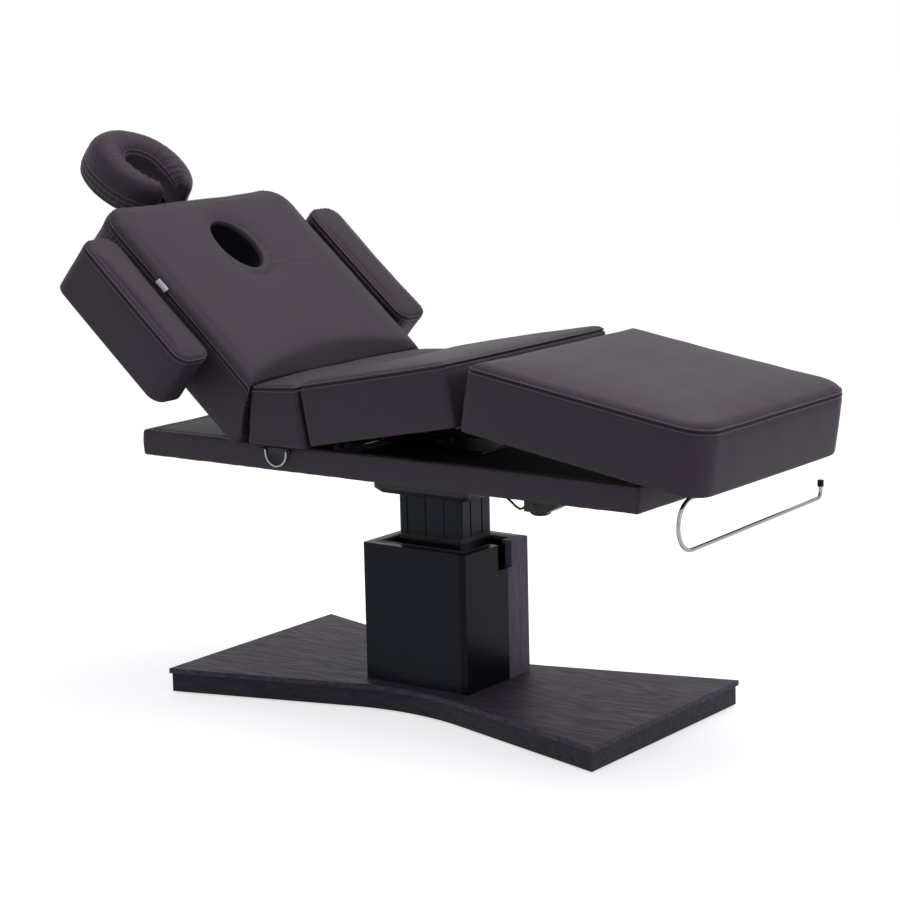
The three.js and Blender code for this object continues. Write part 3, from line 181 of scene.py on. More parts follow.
def make_veneer(name, grain_axis, dark, pale):
    """Open-pored ash veneer, stained dark: pores are fine lines along the grain, and the arches
    of the figure are contour lines of a noise that is stretched along it. Pores of 0.3 mm are
    drawn 4.5 mm apart, so that they show at the photograph's distance."""
    material, tree, shader = new_material(name)
    place = add_node(tree, "ShaderNodeTexCoord").outputs["Object"]
    along = [axis == grain_axis for axis in "xyz"]
    slow = add_node(tree, "ShaderNodeMapping", {},
                    {"Scale": [1.3 if a else 1 / figure_width / 2 for a in along]}, {"Vector": place})
    figure = add_node(tree, "ShaderNodeTexNoise", {}, {"Scale": 1.0, "Detail": 2.0, "Distortion": 0.35},
                      {"Vector": slow.outputs[0]})
    turns = add_node(tree, "ShaderNodeMath", {"operation": "MULTIPLY"}, {1: 95.0}, {0: figure.outputs["Fac"]})
    arches = add_node(tree, "ShaderNodeMath", {"operation": "SINE"}, {}, {0: turns.outputs[0]})
    fine = add_node(tree, "ShaderNodeMapping", {}, {"Scale": [14.0 if a else 1 / grain_width for a in along]},
                    {"Vector": place})
    pores = add_node(tree, "ShaderNodeTexNoise", {}, {"Scale": 1.0, "Detail": 4.0, "Roughness": 0.65},
                     {"Vector": fine.outputs[0]})
    mixed = add_node(tree, "ShaderNodeMath", {"operation": "MULTIPLY_ADD"}, {1: 0.07},
                     {0: arches.outputs[0], 2: pores.outputs["Fac"]})
    share = add_node(tree, "ShaderNodeMapRange", {}, {"From Min": 0.28, "From Max": 0.78},
                     {"Value": mixed.outputs[0]})
    colour = add_node(tree, "ShaderNodeMix", {"data_type": "RGBA"}, {6: linear(dark), 7: linear(pale)},
                      {0: share.outputs["Result"]})
    tree.links.new(colour.outputs[2], shader.inputs["Base Color"])
    bump = add_node(tree, "ShaderNodeBump", {}, {"Strength": 0.8, "Distance": 0.0008},
                    {"Height": share.outputs["Result"]})
    tree.links.new(bump.outputs["Normal"], shader.inputs["Normal"])
    gloss = add_node(tree, "ShaderNodeMapRange", {}, {"To Min": 0.62, "To Max": 0.42},
                     {"Value": share.outputs["Result"]})
    tree.links.new(gloss.outputs["Result"], shader.inputs["Roughness"])
    shader.inputs["Specular IOR Level"].default_value = 0.15
    return material


def make_rubber():
    """Moulded black rubber: matt, with the slight bloom that rubber gets."""
    material, tree, shader = new_material("moulded black rubber")
    place = add_node(tree, "ShaderNodeTexCoord").outputs["Object"]
    bloom = add_node(tree, "ShaderNodeTexNoise", {}, {"Scale": 60.0, "Detail": 3.0}, {"Vector": place})
    colour = add_node(tree, "ShaderNodeMix", {"data_type": "RGBA"},
                      {6: linear("#0c0c0d"), 7: linear("#19191b")}, {0: bloom.outputs["Fac"]})
    tree.links.new(colour.outputs[2], shader.inputs["Base Color"])
    shader.inputs["Roughness"].default_value = 0.8
    shader.inputs["Specular IOR Level"].default_value = 0.3
    return material


def finish_nodes(material, *names):
    """Puts a material on CAD nodes, through their own slots."""
    for name in names:
        for slot in frame["nodes"][name].material_slots:
            slot.material = material


veneer = make_veneer("stained open-pored ash veneer", "x", "#2d2532", "#554a5a")
rubber = make_rubber()
# The core's veneer is a darker copy of the panel's: painted shade on the plinth's sides, which face away from
# the overhead light.
skirt_veneer_painted_shade = make_veneer("stained open-pored ash veneer with painted shade, skirt", "x", "#201e27", "#34313d")
finish_nodes(veneer, "base_top_panel")
finish_nodes(skirt_veneer_painted_shade, "base_core")
finish_nodes(rubber, "base_glide_head", "base_glide_middle", "base_glide_foot")


# Column cover
# A box of lacquered boards round the lower column, with a cable notch. One board at the foot
# side is veneered, with the grain upright, and a veneered ledge is let in at the top.


def make_lacquer(name, dark, pale):
    """Black lacquered MDF: smooth, with a faint orange peel of 6 mm and a broad reflection."""
    material, tree, shader = new_material(name)
    place = add_node(tree, "ShaderNodeTexCoord").outputs["Object"]
    peel = add_node(tree, "ShaderNodeTexNoise", {}, {"Scale": 160.0, "Detail": 1.0}, {"Vector": place})
    cloud = add_node(tree, "ShaderNodeTexNoise", {}, {"Scale": 5.0, "Detail": 3.0}, {"Vector": place})
    colour = add_node(tree, "ShaderNodeMix", {"data_type": "RGBA"}, {6: linear(dark), 7: linear(pale)},
                      {0: cloud.outputs["Fac"]})
    tree.links.new(colour.outputs[2], shader.inputs["Base Color"])
    bump = add_node(tree, "ShaderNodeBump", {}, {"Strength": 0.12, "Distance": 0.0002},
                    {"Height": peel.outputs["Fac"]})
    tree.links.new(bump.outputs["Normal"], shader.inputs["Normal"])
    shader.inputs["Roughness"].default_value = 0.26
    shader.inputs["Specular IOR Level"].default_value = 0.07
    return material


lacquer = make_lacquer("lacquered MDF board", "#1b1f27", "#21252e")
# The door board's lacquer is a darker copy of the other boards': painted shade on that face, which the foot
# fill lights.
door_lacquer_painted_shade = make_lacquer("lacquered MDF board, darkened as painted shade", "#090b10", "#0f1219")
# The ledge's veneer is a paler copy of the panel's: painted light, standing for the reflections on its glossy
# top.
rim_veneer_painted_light = make_veneer("stained open-pored ash veneer with painted light, ledge", "y", "#4a464f", "#6b6671")
# The upright board's veneer is a paler copy of the panel's: painted reflected light on that side of the cover.
upright_veneer_painted_light = make_veneer("stained open-pored ash veneer with painted light, upright", "z", "#524b58", "#6e6775")
finish_nodes(lacquer, "cover_near", "cover_far", "cover_head")
finish_nodes(door_lacquer_painted_shade, "cover_door")
finish_nodes(upright_veneer_painted_light, "cover_strip")
finish_nodes(rim_veneer_painted_light, "cover_rim")


# Lifting column
# Three nested stages of extruded aluminium, anodised black, the largest on top, which slides
# in a moulded guide ring. Its foot side is ribbed, and a pressed steel tray closes its head.


def make_anodised():
    """Black anodised aluminium: a dark metal with fine ribs that run up the extrusion, drawn
    about 4 mm apart."""
    material, tree, shader = new_material("black anodised aluminium extrusion")
    place = add_node(tree, "ShaderNodeTexCoord").outputs["Object"]
    drawn = add_node(tree, "ShaderNodeMapping", {}, {"Scale": (260.0, 260.0, 3.0)}, {"Vector": place})
    lines = add_node(tree, "ShaderNodeTexNoise", {}, {"Scale": 1.0, "Detail": 3.0},
                     {"Vector": drawn.outputs[0]})
    colour = add_node(tree, "ShaderNodeMix", {"data_type": "RGBA"},
                      {6: linear("#0d1015"), 7: linear("#1b1f28")}, {0: lines.outputs["Fac"]})
    tree.links.new(colour.outputs[2], shader.inputs["Base Color"])
    rough = add_node(tree, "ShaderNodeMapRange", {}, {"To Min": 0.3, "To Max": 0.46},
                     {"Value": lines.outputs["Fac"]})
    tree.links.new(rough.outputs["Result"], shader.inputs["Roughness"])
    bump = add_node(tree, "ShaderNodeBump", {}, {"Strength": 0.6, "Distance": 0.0006},
                    {"Height": lines.outputs["Fac"]})
    tree.links.new(bump.outputs["Normal"], shader.inputs["Normal"])
    shader.inputs["Metallic"].default_value = 0.85
    return material


def make_powder_coat():
    """Black powder coat on steel: a fine even orange peel of about 1 mm and a satin sheen."""
    material, tree, shader = new_material("black powder-coated steel")
    place = add_node(tree, "ShaderNodeTexCoord").outputs["Object"]
    peel = add_node(tree, "ShaderNodeTexNoise", {}, {"Scale": 800.0, "Detail": 2.0}, {"Vector": place})
    wear = add_node(tree, "ShaderNodeTexNoise", {}, {"Scale": 18.0, "Detail": 4.0}, {"Vector": place})
    colour = add_node(tree, "ShaderNodeMix", {"data_type": "RGBA"},
                      {6: linear("#121316"), 7: linear("#1d1e22")}, {0: wear.outputs["Fac"]})
    tree.links.new(colour.outputs[2], shader.inputs["Base Color"])
    bump = add_node(tree, "ShaderNodeBump", {}, {"Strength": 0.25, "Distance": 0.0002},
                    {"Height": peel.outputs["Fac"]})
    tree.links.new(bump.outputs["Normal"], shader.inputs["Normal"])
    shader.inputs["Roughness"].default_value = 0.48
    shader.inputs["Specular IOR Level"].default_value = 0.35
    return material


def make_plastic():
    """Moulded black ABS with a spark-eroded texture of 0.7 mm."""
    material, tree, shader = new_material("moulded black ABS")
    place = add_node(tree, "ShaderNodeTexCoord").outputs["Object"]
    spark = add_node(tree, "ShaderNodeTexVoronoi", {}, {"Scale": 1500.0}, {"Vector": place})
    tone = add_node(tree, "ShaderNodeTexNoise", {}, {"Scale": 9.0, "Detail": 2.0}, {"Vector": place})
    colour = add_node(tree, "ShaderNodeMix", {"data_type": "RGBA"},
                      {6: linear("#08090c"), 7: linear("#0f1014")}, {0: tone.outputs["Fac"]})
    tree.links.new(colour.outputs[2], shader.inputs["Base Color"])
    bump = add_node(tree, "ShaderNodeBump", {}, {"Strength": 0.2, "Distance": 0.0001},
                    {"Height": spark.outputs["Distance"]})
    tree.links.new(bump.outputs["Normal"], shader.inputs["Normal"])
    shader.inputs["Roughness"].default_value = 0.4
    shader.inputs["Specular IOR Level"].default_value = 0.3
    return material


anodised = make_anodised()
powder_coat = make_powder_coat()
plastic = make_plastic()
finish_nodes(anodised, "column_upper", "column_middle", "column_lower")
finish_nodes(plastic, "column_guide")
finish_nodes(powder_coat, "column_tray", "lift_motor", "lift_nut_tube")


# Chassis, motors and cable
# Welded steel rails, cross tubes, hinge shafts and levers, powder-coated black, and two linear
# motors with moulded housings and plated rods. A hardboard liner lies on the rails.
finish_nodes(powder_coat, "rail_near", "rail_far", "cross_tube_head", "cross_tube_column", "cross_tube_motor",
             "cross_tube_foot", "back_hinge_shaft", "seat_hinge_shaft", "knee_leaf_seat", "knee_leaf_leg")
finish_nodes(plastic, "back_actuator", "seat_actuator", "leg_rest_strip")
finish_nodes(rubber, "motor_cable")


def make_hardboard():
    """Black-stained hardboard: pressed wood fibre, matt, with fibres a few millimetres long."""
    material, tree, shader = new_material("black-stained hardboard")
    place = add_node(tree, "ShaderNodeTexCoord").outputs["Object"]
    fibre = add_node(tree, "ShaderNodeTexNoise", {}, {"Scale": 320.0, "Detail": 5.0, "Distortion": 1.5},
                     {"Vector": place})
    colour = add_node(tree, "ShaderNodeMix", {"data_type": "RGBA"},
                      {6: linear("#16161d"), 7: linear("#2a2a34")}, {0: fibre.outputs["Fac"]})
    tree.links.new(colour.outputs[2], shader.inputs["Base Color"])
    shader.inputs["Roughness"].default_value = 0.75
    shader.inputs["Specular IOR Level"].default_value = 0.2
    return material


hardboard = make_hardboard()


liner_low, liner_high, liner_half, liner_notch = 0.6026, 0.6056, 0.277, 0.068
liner_head, liner_column, liner_foot = -0.105, 0.158, 0.689
main_plan = [(liner_head, liner_notch), (liner_column, liner_notch), (liner_column, -liner_notch),
             (liner_head, -liner_notch), (liner_head, -liner_half), (liner_foot, -liner_half),
             (liner_foot, liner_half), (liner_head, liner_half)]
head_end, head_notch, head_edge, head_half = -0.330, -0.200, -0.152, 0.185
head_plan = [(head_end, -head_half), (head_edge, -head_half), (head_edge, -liner_notch),
             (head_notch, -liner_notch), (head_notch, liner_notch), (head_edge, liner_notch),
             (head_edge, head_half), (head_end, head_half)]
corners, faces = [], []
for plan in (main_plan, head_plan):
    first, count = len(corners), len(plan)
    corners += [(x, y, z) for z in (liner_low, liner_high) for x, y in plan]
    faces += [[first + k, first + (k + 1) % count, first + (k + 1) % count + count, first + k + count]
              for k in range(count)]
    faces += [[first + k for k in range(count)][::-1], [first + count + k for k in range(count)]]
liner_mesh = bpy.data.meshes.new("frame_liner")
liner_mesh.from_pydata(corners, [], faces)
liner = place_mesh("frame_liner", liner_mesh)
liner_mesh.materials.append(hardboard)
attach(liner, "frame")


# Under-frame panels
# Boards on four sides of the chassis, wrapped in thin foam and vinyl that runs round the corners
# in one piece and is stapled inside. The head deck is a board covered in the same way.

# Plum-brown PVC upholstery vinyl, calendered on a knitted backing and embossed with a pebble
# grain: a soft wide highlight, slightly uneven colour, and a leathery grain close by. The real
# grain of about 1 mm is drawn at 2 mm, so that it shows at the photograph's distance.
vinyl_grain = 0.0020
vinyl_cloud = 0.16


def make_vinyl():
    material, tree, shader = new_material("embossed upholstery vinyl")
    place = add_node(tree, "ShaderNodeTexCoord").outputs["Object"]
    clouds = add_node(tree, "ShaderNodeTexNoise", {}, {"Scale": 1 / vinyl_cloud, "Detail": 4.0},
                      {"Vector": place})
    colour = add_node(tree, "ShaderNodeMix", {"data_type": "RGBA"},
                      {6: linear("#2d222e"), 7: linear("#382c3a")}, {0: clouds.outputs["Fac"]})
    tree.links.new(colour.outputs[2], shader.inputs["Base Color"])
    pebbles = add_node(tree, "ShaderNodeTexVoronoi", {"feature": "DISTANCE_TO_EDGE"},
                       {"Scale": 1 / vinyl_grain}, {"Vector": place})
    valleys = add_node(tree, "ShaderNodeMapRange", {}, {"From Max": 0.3},
                       {"Value": pebbles.outputs["Distance"]})
    creases = add_node(tree, "ShaderNodeTexNoise", {}, {"Scale": 90.0, "Detail": 3.0}, {"Vector": place})
    height = add_node(tree, "ShaderNodeMath", {"operation": "MULTIPLY_ADD"}, {1: 0.5},
                      {0: creases.outputs["Fac"], 2: valleys.outputs["Result"]})
    bump = add_node(tree, "ShaderNodeBump", {}, {"Strength": 0.35, "Distance": 0.0003},
                    {"Height": height.outputs[0]})
    tree.links.new(bump.outputs["Normal"], shader.inputs["Normal"])
    gloss = add_node(tree, "ShaderNodeMapRange", {}, {"To Min": 0.50, "To Max": 0.60},
                     {"Value": clouds.outputs["Fac"]})
    tree.links.new(gloss.outputs["Result"], shader.inputs["Roughness"])
    shader.inputs["Specular IOR Level"].default_value = 0.24
    return material


vinyl = make_vinyl()


# A cover's mesh is a grid. Its columns run round the outline. Its rows run from the underside up
# the side and in over the top, or right round the section of a narrow board.
arc_points = 25
corner_fade = 0.04


def ring_corners(length, width, radii):
    """The four quarter arcs of a rounded rectangle, 25 points each, with their angles. The radii
    start at the (+x, +y) corner and run round to (+x, -y)."""
    turns = np.linspace(0, np.pi / 2, arc_points)
    x, y, angle = [], [], []
    for k, ((sx, sy), r) in enumerate(zip([(1, 1), (-1, 1), (-1, -1), (1, -1)], radii)):
        a = turns + k * np.pi / 2
        x.append(sx * (length / 2 - r) + r * np.cos(a))
        y.append(sy * (width / 2 - r) + r * np.sin(a))
        angle.append(a)
    x, y, angle = (np.concatenate(part) for part in (x, y, angle))
    return np.append(x, x[0]), np.append(y, y[0]), np.append(angle, 2 * np.pi)


def outline(length, width, radii, insets, count):
    """Rounded rectangles one inside the other, a row for each inset, with columns matched by arc
    length on the outermost: x, y, corner share (1 in a corner, gone 40 mm off) and arc length."""
    x, y, angle = ring_corners(length, width, radii)
    run = np.concatenate([[0], np.cumsum(np.hypot(np.diff(x), np.diff(y)))])
    at = np.linspace(0, run[-1], count, endpoint=False)
    reach = np.abs(at[:, None] - run[arc_points // 2 + arc_points * np.arange(4)][None, :])
    reach = np.minimum(reach, run[-1] - reach) - np.array(radii) * np.pi / 4
    corner = np.exp(-(np.maximum(reach, 0).min(1) / corner_fade) ** 2)
    index = np.interp(at, run, np.arange(len(run)))
    rows_x, rows_y = [], []
    for inset in insets:
        tight = [max(r - inset, r * 0.4) for r in radii]
        x, y, angle = ring_corners(length - 2 * inset, width - 2 * inset, tight)
        rows_x.append(np.interp(index, np.arange(len(x)), x))
        rows_y.append(np.interp(index, np.arange(len(y)), y))
    return np.stack(rows_x), np.stack(rows_y), corner, at


def normals(points, closed_rows=False):
    """Outward unit normals of a grid: the column direction crossed with the row direction."""
    across = np.roll(points, -1, 1) - np.roll(points, 1, 1)
    along = np.roll(points, -1, 0) - np.roll(points, 1, 0) if closed_rows else np.gradient(points, axis=0)
    normal = np.cross(across, along)
    return normal / np.maximum(np.linalg.norm(normal, axis=-1, keepdims=True), 1e-12)


def grid_object(name, points, closed_rows=False):
    """A mesh from a (rows, columns, 3) grid. Columns wrap round; rows wrap too, or the first and
    last are each closed by a fan."""
    rows, columns, _ = points.shape
    r = np.arange(rows if closed_rows else rows - 1)[:, None]
    c = np.arange(columns)[None, :]
    r2, c2 = (r + 1) % rows, (c + 1) % columns
    quads = np.stack([r * columns + c, r * columns + c2, r2 * columns + c2, r2 * columns + c], -1)
    faces = quads.reshape(-1, 4).tolist()
    vertices = points.reshape(-1, 3)
    if not closed_rows:
        low, high, last = len(vertices), len(vertices) + 1, (rows - 1) * columns
        vertices = np.vstack([vertices, points[0].mean(0), points[-1].mean(0)])
        faces += [(low, (k + 1) % columns, k) for k in range(columns)]
        faces += [(high, last + k, last + (k + 1) % columns) for k in range(columns)]
    mesh = bpy.data.meshes.new(name)
    mesh.from_pydata(vertices.tolist(), [], faces)
    mesh.polygons.foreach_set("use_smooth", np.ones(len(mesh.polygons), bool))
    mesh.update()
    return place_mesh(name, mesh)


def waviness(points, seed, height=0.0004):
    """Slow unevenness of foam under vinyl: five crossed sine waves, 60 to 200 mm long."""
    rng = np.random.default_rng(seed)
    total = np.zeros(points.shape[:-1])
    for _ in range(5):
        direction = rng.normal(size=3)
        direction *= 2 * np.pi / rng.uniform(0.06, 0.2) / np.linalg.norm(direction)
        total += np.sin(points @ direction + rng.uniform(0, 2 * np.pi))
    return total * height / 2


def dress(pieces, body, nodes):
    """The first piece is a vinyl pad and stands for its CAD nodes; its stitching rides with it."""
    cushion = pieces[0]
    cushion.data.materials.append(vinyl)
    for piece in pieces:
        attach(piece, body)
    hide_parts(*nodes)


def panel_profile(thick, low, high, outer_turn, inner_turn, crown):
    """A closed section of a wrapped board: up the outer face, which swells by crown, over the
    top, down the inner face and back underneath. Gives inset from the outer face, and height."""
    up = np.linspace(0, 1, 12)
    quarter = np.linspace(0, np.pi / 2, 6)
    rows = [(crown * (2 * s - 1) ** 2, low + outer_turn + s * (high - low - 2 * outer_turn)) for s in up]
    rows += [(crown + outer_turn * (1 - np.cos(a)), high - outer_turn * (1 - np.sin(a))) for a in quarter[1:]]
    rows += [(thick - inner_turn * (1 - np.sin(a)), high - inner_turn * (1 - np.cos(a))) for a in quarter]
    rows += [(thick, high - inner_turn - s * (high - low - 2 * inner_turn)) for s in np.linspace(0, 1, 5)[1:]]
    rows += [(thick - inner_turn * (1 - np.cos(a)), low + inner_turn * (1 - np.sin(a))) for a in quarter[1:]]
    rows += [(crown + outer_turn * (1 - np.sin(a)), low + outer_turn * (1 - np.cos(a))) for a in quarter[:-1]]
    inset, z = (np.array(part) for part in zip(*rows))
    return inset, z


frame_head, frame_foot, frame_width = -0.655, 0.712, 0.600
frame_low, frame_high, frame_board, frame_turn = 0.567, 0.628, 0.022, 0.007
pull_pitch = 0.0095
inset, z = panel_profile(frame_board, frame_low, frame_high, frame_turn, frame_turn / 2, 0.0012)
x, y, corner, at = outline(frame_foot - frame_head, frame_width, (frame_turn,) * 4, inset, 640)
points = np.stack([x + (frame_head + frame_foot) / 2, y, np.broadcast_to(z[:, None], x.shape)], -1)
pull = 0.0006 * np.cos(at / pull_pitch * 2 * np.pi)[None, :] * corner[None, :]
pull = pull * (np.abs(points[..., 2] - frame_low) < 0.02)
points = points - normals(points, True) * (np.abs(waviness(points, 31, 0.0006)) + np.abs(pull))[..., None]
panels = grid_object("frame_panels", points, closed_rows=True)
dress([panels], "frame", ["side_panel_near", "side_panel_far", "end_panel_head", "end_panel_foot"])


def wrapped_board(name, length, width, centre, low, high, turn, corner):
    """A flat board with its vinyl pulled round all edges: rows run from the middle of the
    underside, out, round the edge in two quarter turns, and in to the middle of the top."""
    quarter = np.linspace(0, np.pi / 2, 5)
    rows = [(turn, low, 1 - s) for s in (0.3, 0.8, 1.0)]
    rows += [(turn * (1 - np.sin(a)), low + turn * (1 - np.cos(a)), 0) for a in quarter[1:]]
    rows += [(turn * (1 - np.cos(a)), high - turn * (1 - np.sin(a)), 0) for a in quarter]
    rows += [(turn, high, s) for s in np.linspace(0, 1, 12)[1:-1]]
    inset, z, inward = (np.array(part, float) for part in zip(*rows))
    x, y, _, _ = outline(length, width, (corner,) * 4, inset, 260)
    share = 1 - inward[:, None]
    heights = np.broadcast_to(z[:, None], x.shape)
    return grid_object(name, np.stack([x * share + centre, y * share, heights], -1))


deck = wrapped_board("head_deck_board", length=0.2124, width=0.5548, centre=-0.5263, low=0.6160, high=0.6280,
                     turn=0.003, corner=0.004)
dress([deck], "frame", ["head_deck"])


# Leg section
# Foam 150 mm thick on a plywood board, with two large rounded corners at the foot. The cover, a
# top panel sewn to a band that runs round it, is drawn over the foam and stapled underneath. Two
# rows of stitches run beside the top seam; their thread is painted paler than the vinyl, a painted highlight.


class Section:
    """The axes of a part of the bed that stands turned in the frame: they start at its hinge and
    run along it, across it and out of it. Places are in metres and the tilt is in degrees."""

    def __init__(self, origin, tilt):
        turn = radians(tilt)
        self.origin = np.array(origin, float)
        self.axes = np.array([[cos(turn), 0, -sin(turn)], [0, 1, 0], [sin(turn), 0, cos(turn)]])

    def world(self, points):
        """World = origin + along, across and out, each times its own axis."""
        return self.origin + np.asarray(points) @ self.axes


hinges = {joint["name"]: joint.get("pos_m") for joint in frame["record"]["behaviour"]["joints"]}
leg_section = Section(hinges["knee_hinge"], 9.1)


def make_plywood():
    """Birch plywood, sealed dark: the face grain runs across the bed and the plies, 1.5 mm thick,
    show as stripes on the edges."""
    material, tree, shader = new_material("sealed birch plywood")
    place = add_node(tree, "ShaderNodeTexCoord").outputs["Object"]
    grain = add_node(tree, "ShaderNodeMapping", {}, {"Scale": (60.0, 4.0, 330.0)}, {"Vector": place})
    lines = add_node(tree, "ShaderNodeTexNoise", {}, {"Scale": 1.0, "Detail": 4.0},
                     {"Vector": grain.outputs[0]})
    colour = add_node(tree, "ShaderNodeMix", {"data_type": "RGBA"},
                      {6: linear("#1c1819"), 7: linear("#33292a")}, {0: lines.outputs["Fac"]})
    tree.links.new(colour.outputs[2], shader.inputs["Base Color"])
    shader.inputs["Roughness"].default_value = 0.65
    shader.inputs["Specular IOR Level"].default_value = 0.25
    return material


plywood = make_plywood()
finish_nodes(plywood, "leg_board")


# Bonded polyester sewing thread, plum like the vinyl but painted much paler, a painted highlight along the
# seams, and glossier.
def make_thread():
    material, tree, shader = new_material("bonded polyester thread")
    place = add_node(tree, "ShaderNodeTexCoord").outputs["Object"]
    twist = add_node(tree, "ShaderNodeTexNoise", {}, {"Scale": 900.0}, {"Vector": place})
    colour = add_node(tree, "ShaderNodeMix", {"data_type": "RGBA"},
                      {6: linear("#6c6069"), 7: linear("#8b7f88")}, {0: twist.outputs["Fac"]})
    tree.links.new(colour.outputs[2], shader.inputs["Base Color"])
    shader.inputs["Roughness"].default_value = 0.35
    return material


thread = make_thread()


def dome(u, v):
    """Height of a crowned panel, 0 on its edges and 1 in the middle: (1 - u^4) times (1 - v^4)."""
    return (1 - np.minimum(np.abs(u), 1) ** 4) * (1 - np.minimum(np.abs(v), 1) ** 4)


def pad_rows(pocket, rim, seam, roll_width, roll_height, panel=30):
    """The rows of a box cushion from the pocket to the top: inset from the outline, height, share
    of the way in to the middle, and height over the seam line along the surface (0 at the seam)."""
    turn, close_under, close_reach = 0.006, 0.016, 0.0145
    rows = [(rim, pocket, s) for s in np.linspace(1, 0, 6)[1:]]
    rows += [(rim, pocket / 2, 0), (rim, 0, 0), ((rim + turn) / 2, 0, 0)]
    rows += [(turn * (1 - np.sin(a)), turn * (1 - np.cos(a)), 0) for a in np.linspace(0, np.pi / 2, 4)]
    rows += [(0, z, 0) for z in np.linspace(turn, seam - close_under, 14)[1:]]
    rows += [(0, seam - close_reach * step ** 1.4, 0) for step in np.linspace(1, 0, 14)]
    rows += [(roll_width * (1 - np.cos(a)), seam + roll_height * np.sin(a), 0)
             for a in np.linspace(0, 1, 20)[1:] ** 1.35 * np.pi / 2]
    ease = np.linspace(0, 1, panel)[1:-1] ** 1.25
    rows += [(roll_width, seam + roll_height, s) for s in ease]
    inset, z, inward = (np.array(part, float) for part in zip(*rows))
    step = np.hypot(np.diff(inset), np.diff(z)) + np.diff(inward) * (inward[1:] > 0) * 0.3
    along = np.concatenate([[0], np.cumsum(np.abs(step))])
    seam_row = int(np.argmin(np.abs(z - seam) + inset * 9 + inward * 9))
    return inset, z, inward, along - along[seam_row]


cloth_frames = 20
smoothings = 6


def inflate(points, held, closed_rows=False, cap=0.006, row_step=3, column_step=6):
    """Blows a cushion up with Cloth: a thinned copy of the grid is put under pressure for 20
    frames with its held rows pinned. How far each point went, up to the cap, is averaged with its
    neighbours six times and spread back over the full grid."""
    rows, columns, _ = points.shape
    row_at = np.unique(np.append(np.arange(0, rows, row_step), [] if closed_rows else rows - 1)).astype(int)
    column_at = np.arange(0, columns, column_step)
    thin = points[row_at][:, column_at]
    shell = grid_object("cloth", thin, closed_rows)
    group = shell.vertex_groups.new(name="held")
    stiff = np.repeat(held[row_at], len(column_at))
    for weight in np.unique(stiff[stiff > 0]):
        group.add(np.flatnonzero(stiff == weight).tolist(), float(weight), "REPLACE")
    cloth = shell.modifiers.new("Cloth", "CLOTH")
    cloth.settings.quality = 5
    cloth.settings.mass = 0.3
    cloth.settings.tension_stiffness = 25
    cloth.settings.compression_stiffness = 25
    cloth.settings.shear_stiffness = 10
    cloth.settings.bending_stiffness = 2
    cloth.settings.use_pressure = True
    cloth.settings.uniform_pressure_force = 4
    cloth.settings.vertex_group_mass = "held"
    cloth.settings.effector_weights.gravity = 0
    cloth.point_cache.frame_start, cloth.point_cache.frame_end = 1, cloth_frames
    scene = bpy.context.scene
    for step in range(1, cloth_frames + 1):
        scene.frame_set(step)
    blown = np.empty(len(shell.data.vertices) * 3)
    shell.evaluated_get(bpy.context.evaluated_depsgraph_get()).data.vertices.foreach_get("co", blown)
    scene.frame_set(1)
    blown = blown.reshape(-1, 3)[:thin.shape[0] * thin.shape[1]].reshape(thin.shape)
    move = blown - thin
    length = np.linalg.norm(move, axis=-1, keepdims=True)
    move *= cap / np.maximum(cap, length)
    for _ in range(smoothings):
        move = (np.roll(move, 1, 1) + move + np.roll(move, -1, 1)) / 3
        move[1:-1] = (move[:-2] + 2 * move[1:-1] + move[2:]) / 4
    bpy.data.objects.remove(shell)
    column_grid = np.append(column_at, columns)
    move = np.concatenate([move, move[:, :1]], 1)
    wide = np.stack([[np.interp(np.arange(columns), column_grid, line) for line in move[..., axis]]
                     for axis in range(3)], -1)
    full = np.stack([[np.interp(np.arange(rows), row_at, line) for line in wide[..., axis].T]
                     for axis in range(3)], -1).transpose(1, 0, 2)
    return points + full


valley_depth, valley_width = 0.0026, 0.0014
ridge_off, ridge_width, ridge_over, ridge_under = 0.0036, 0.0022, 0.0013, 0.0010
pleat_over, pleat_under, pleat_clear = 0.012, 0.028, 0.004


def seam_shape(along, corner, at, pleat, pitch=0.013):
    """Displacement out of the surface at a top seam, from the distance over it: a narrow valley,
    a small ridge of folded vinyl on each side, and in the corners pleats that run away from it."""
    s = along[:, None]
    valley = -valley_depth * np.exp(-(s / valley_width) ** 2)
    ridge = (ridge_over * np.exp(-((s - ridge_off) / ridge_width) ** 2)
             + ridge_under * np.exp(-((s + ridge_off) / ridge_width) ** 2))
    fold = np.cos(2 * np.pi * at / pitch + 1.3 * np.sin(at * 37))[None, :]
    reach = np.exp(-(s / np.where(s > 0, pleat_over, pleat_under)) ** 2) * (1 - np.exp(-(s / pleat_clear) ** 2))
    return valley + ridge + pleat * fold * reach * corner[None, :]


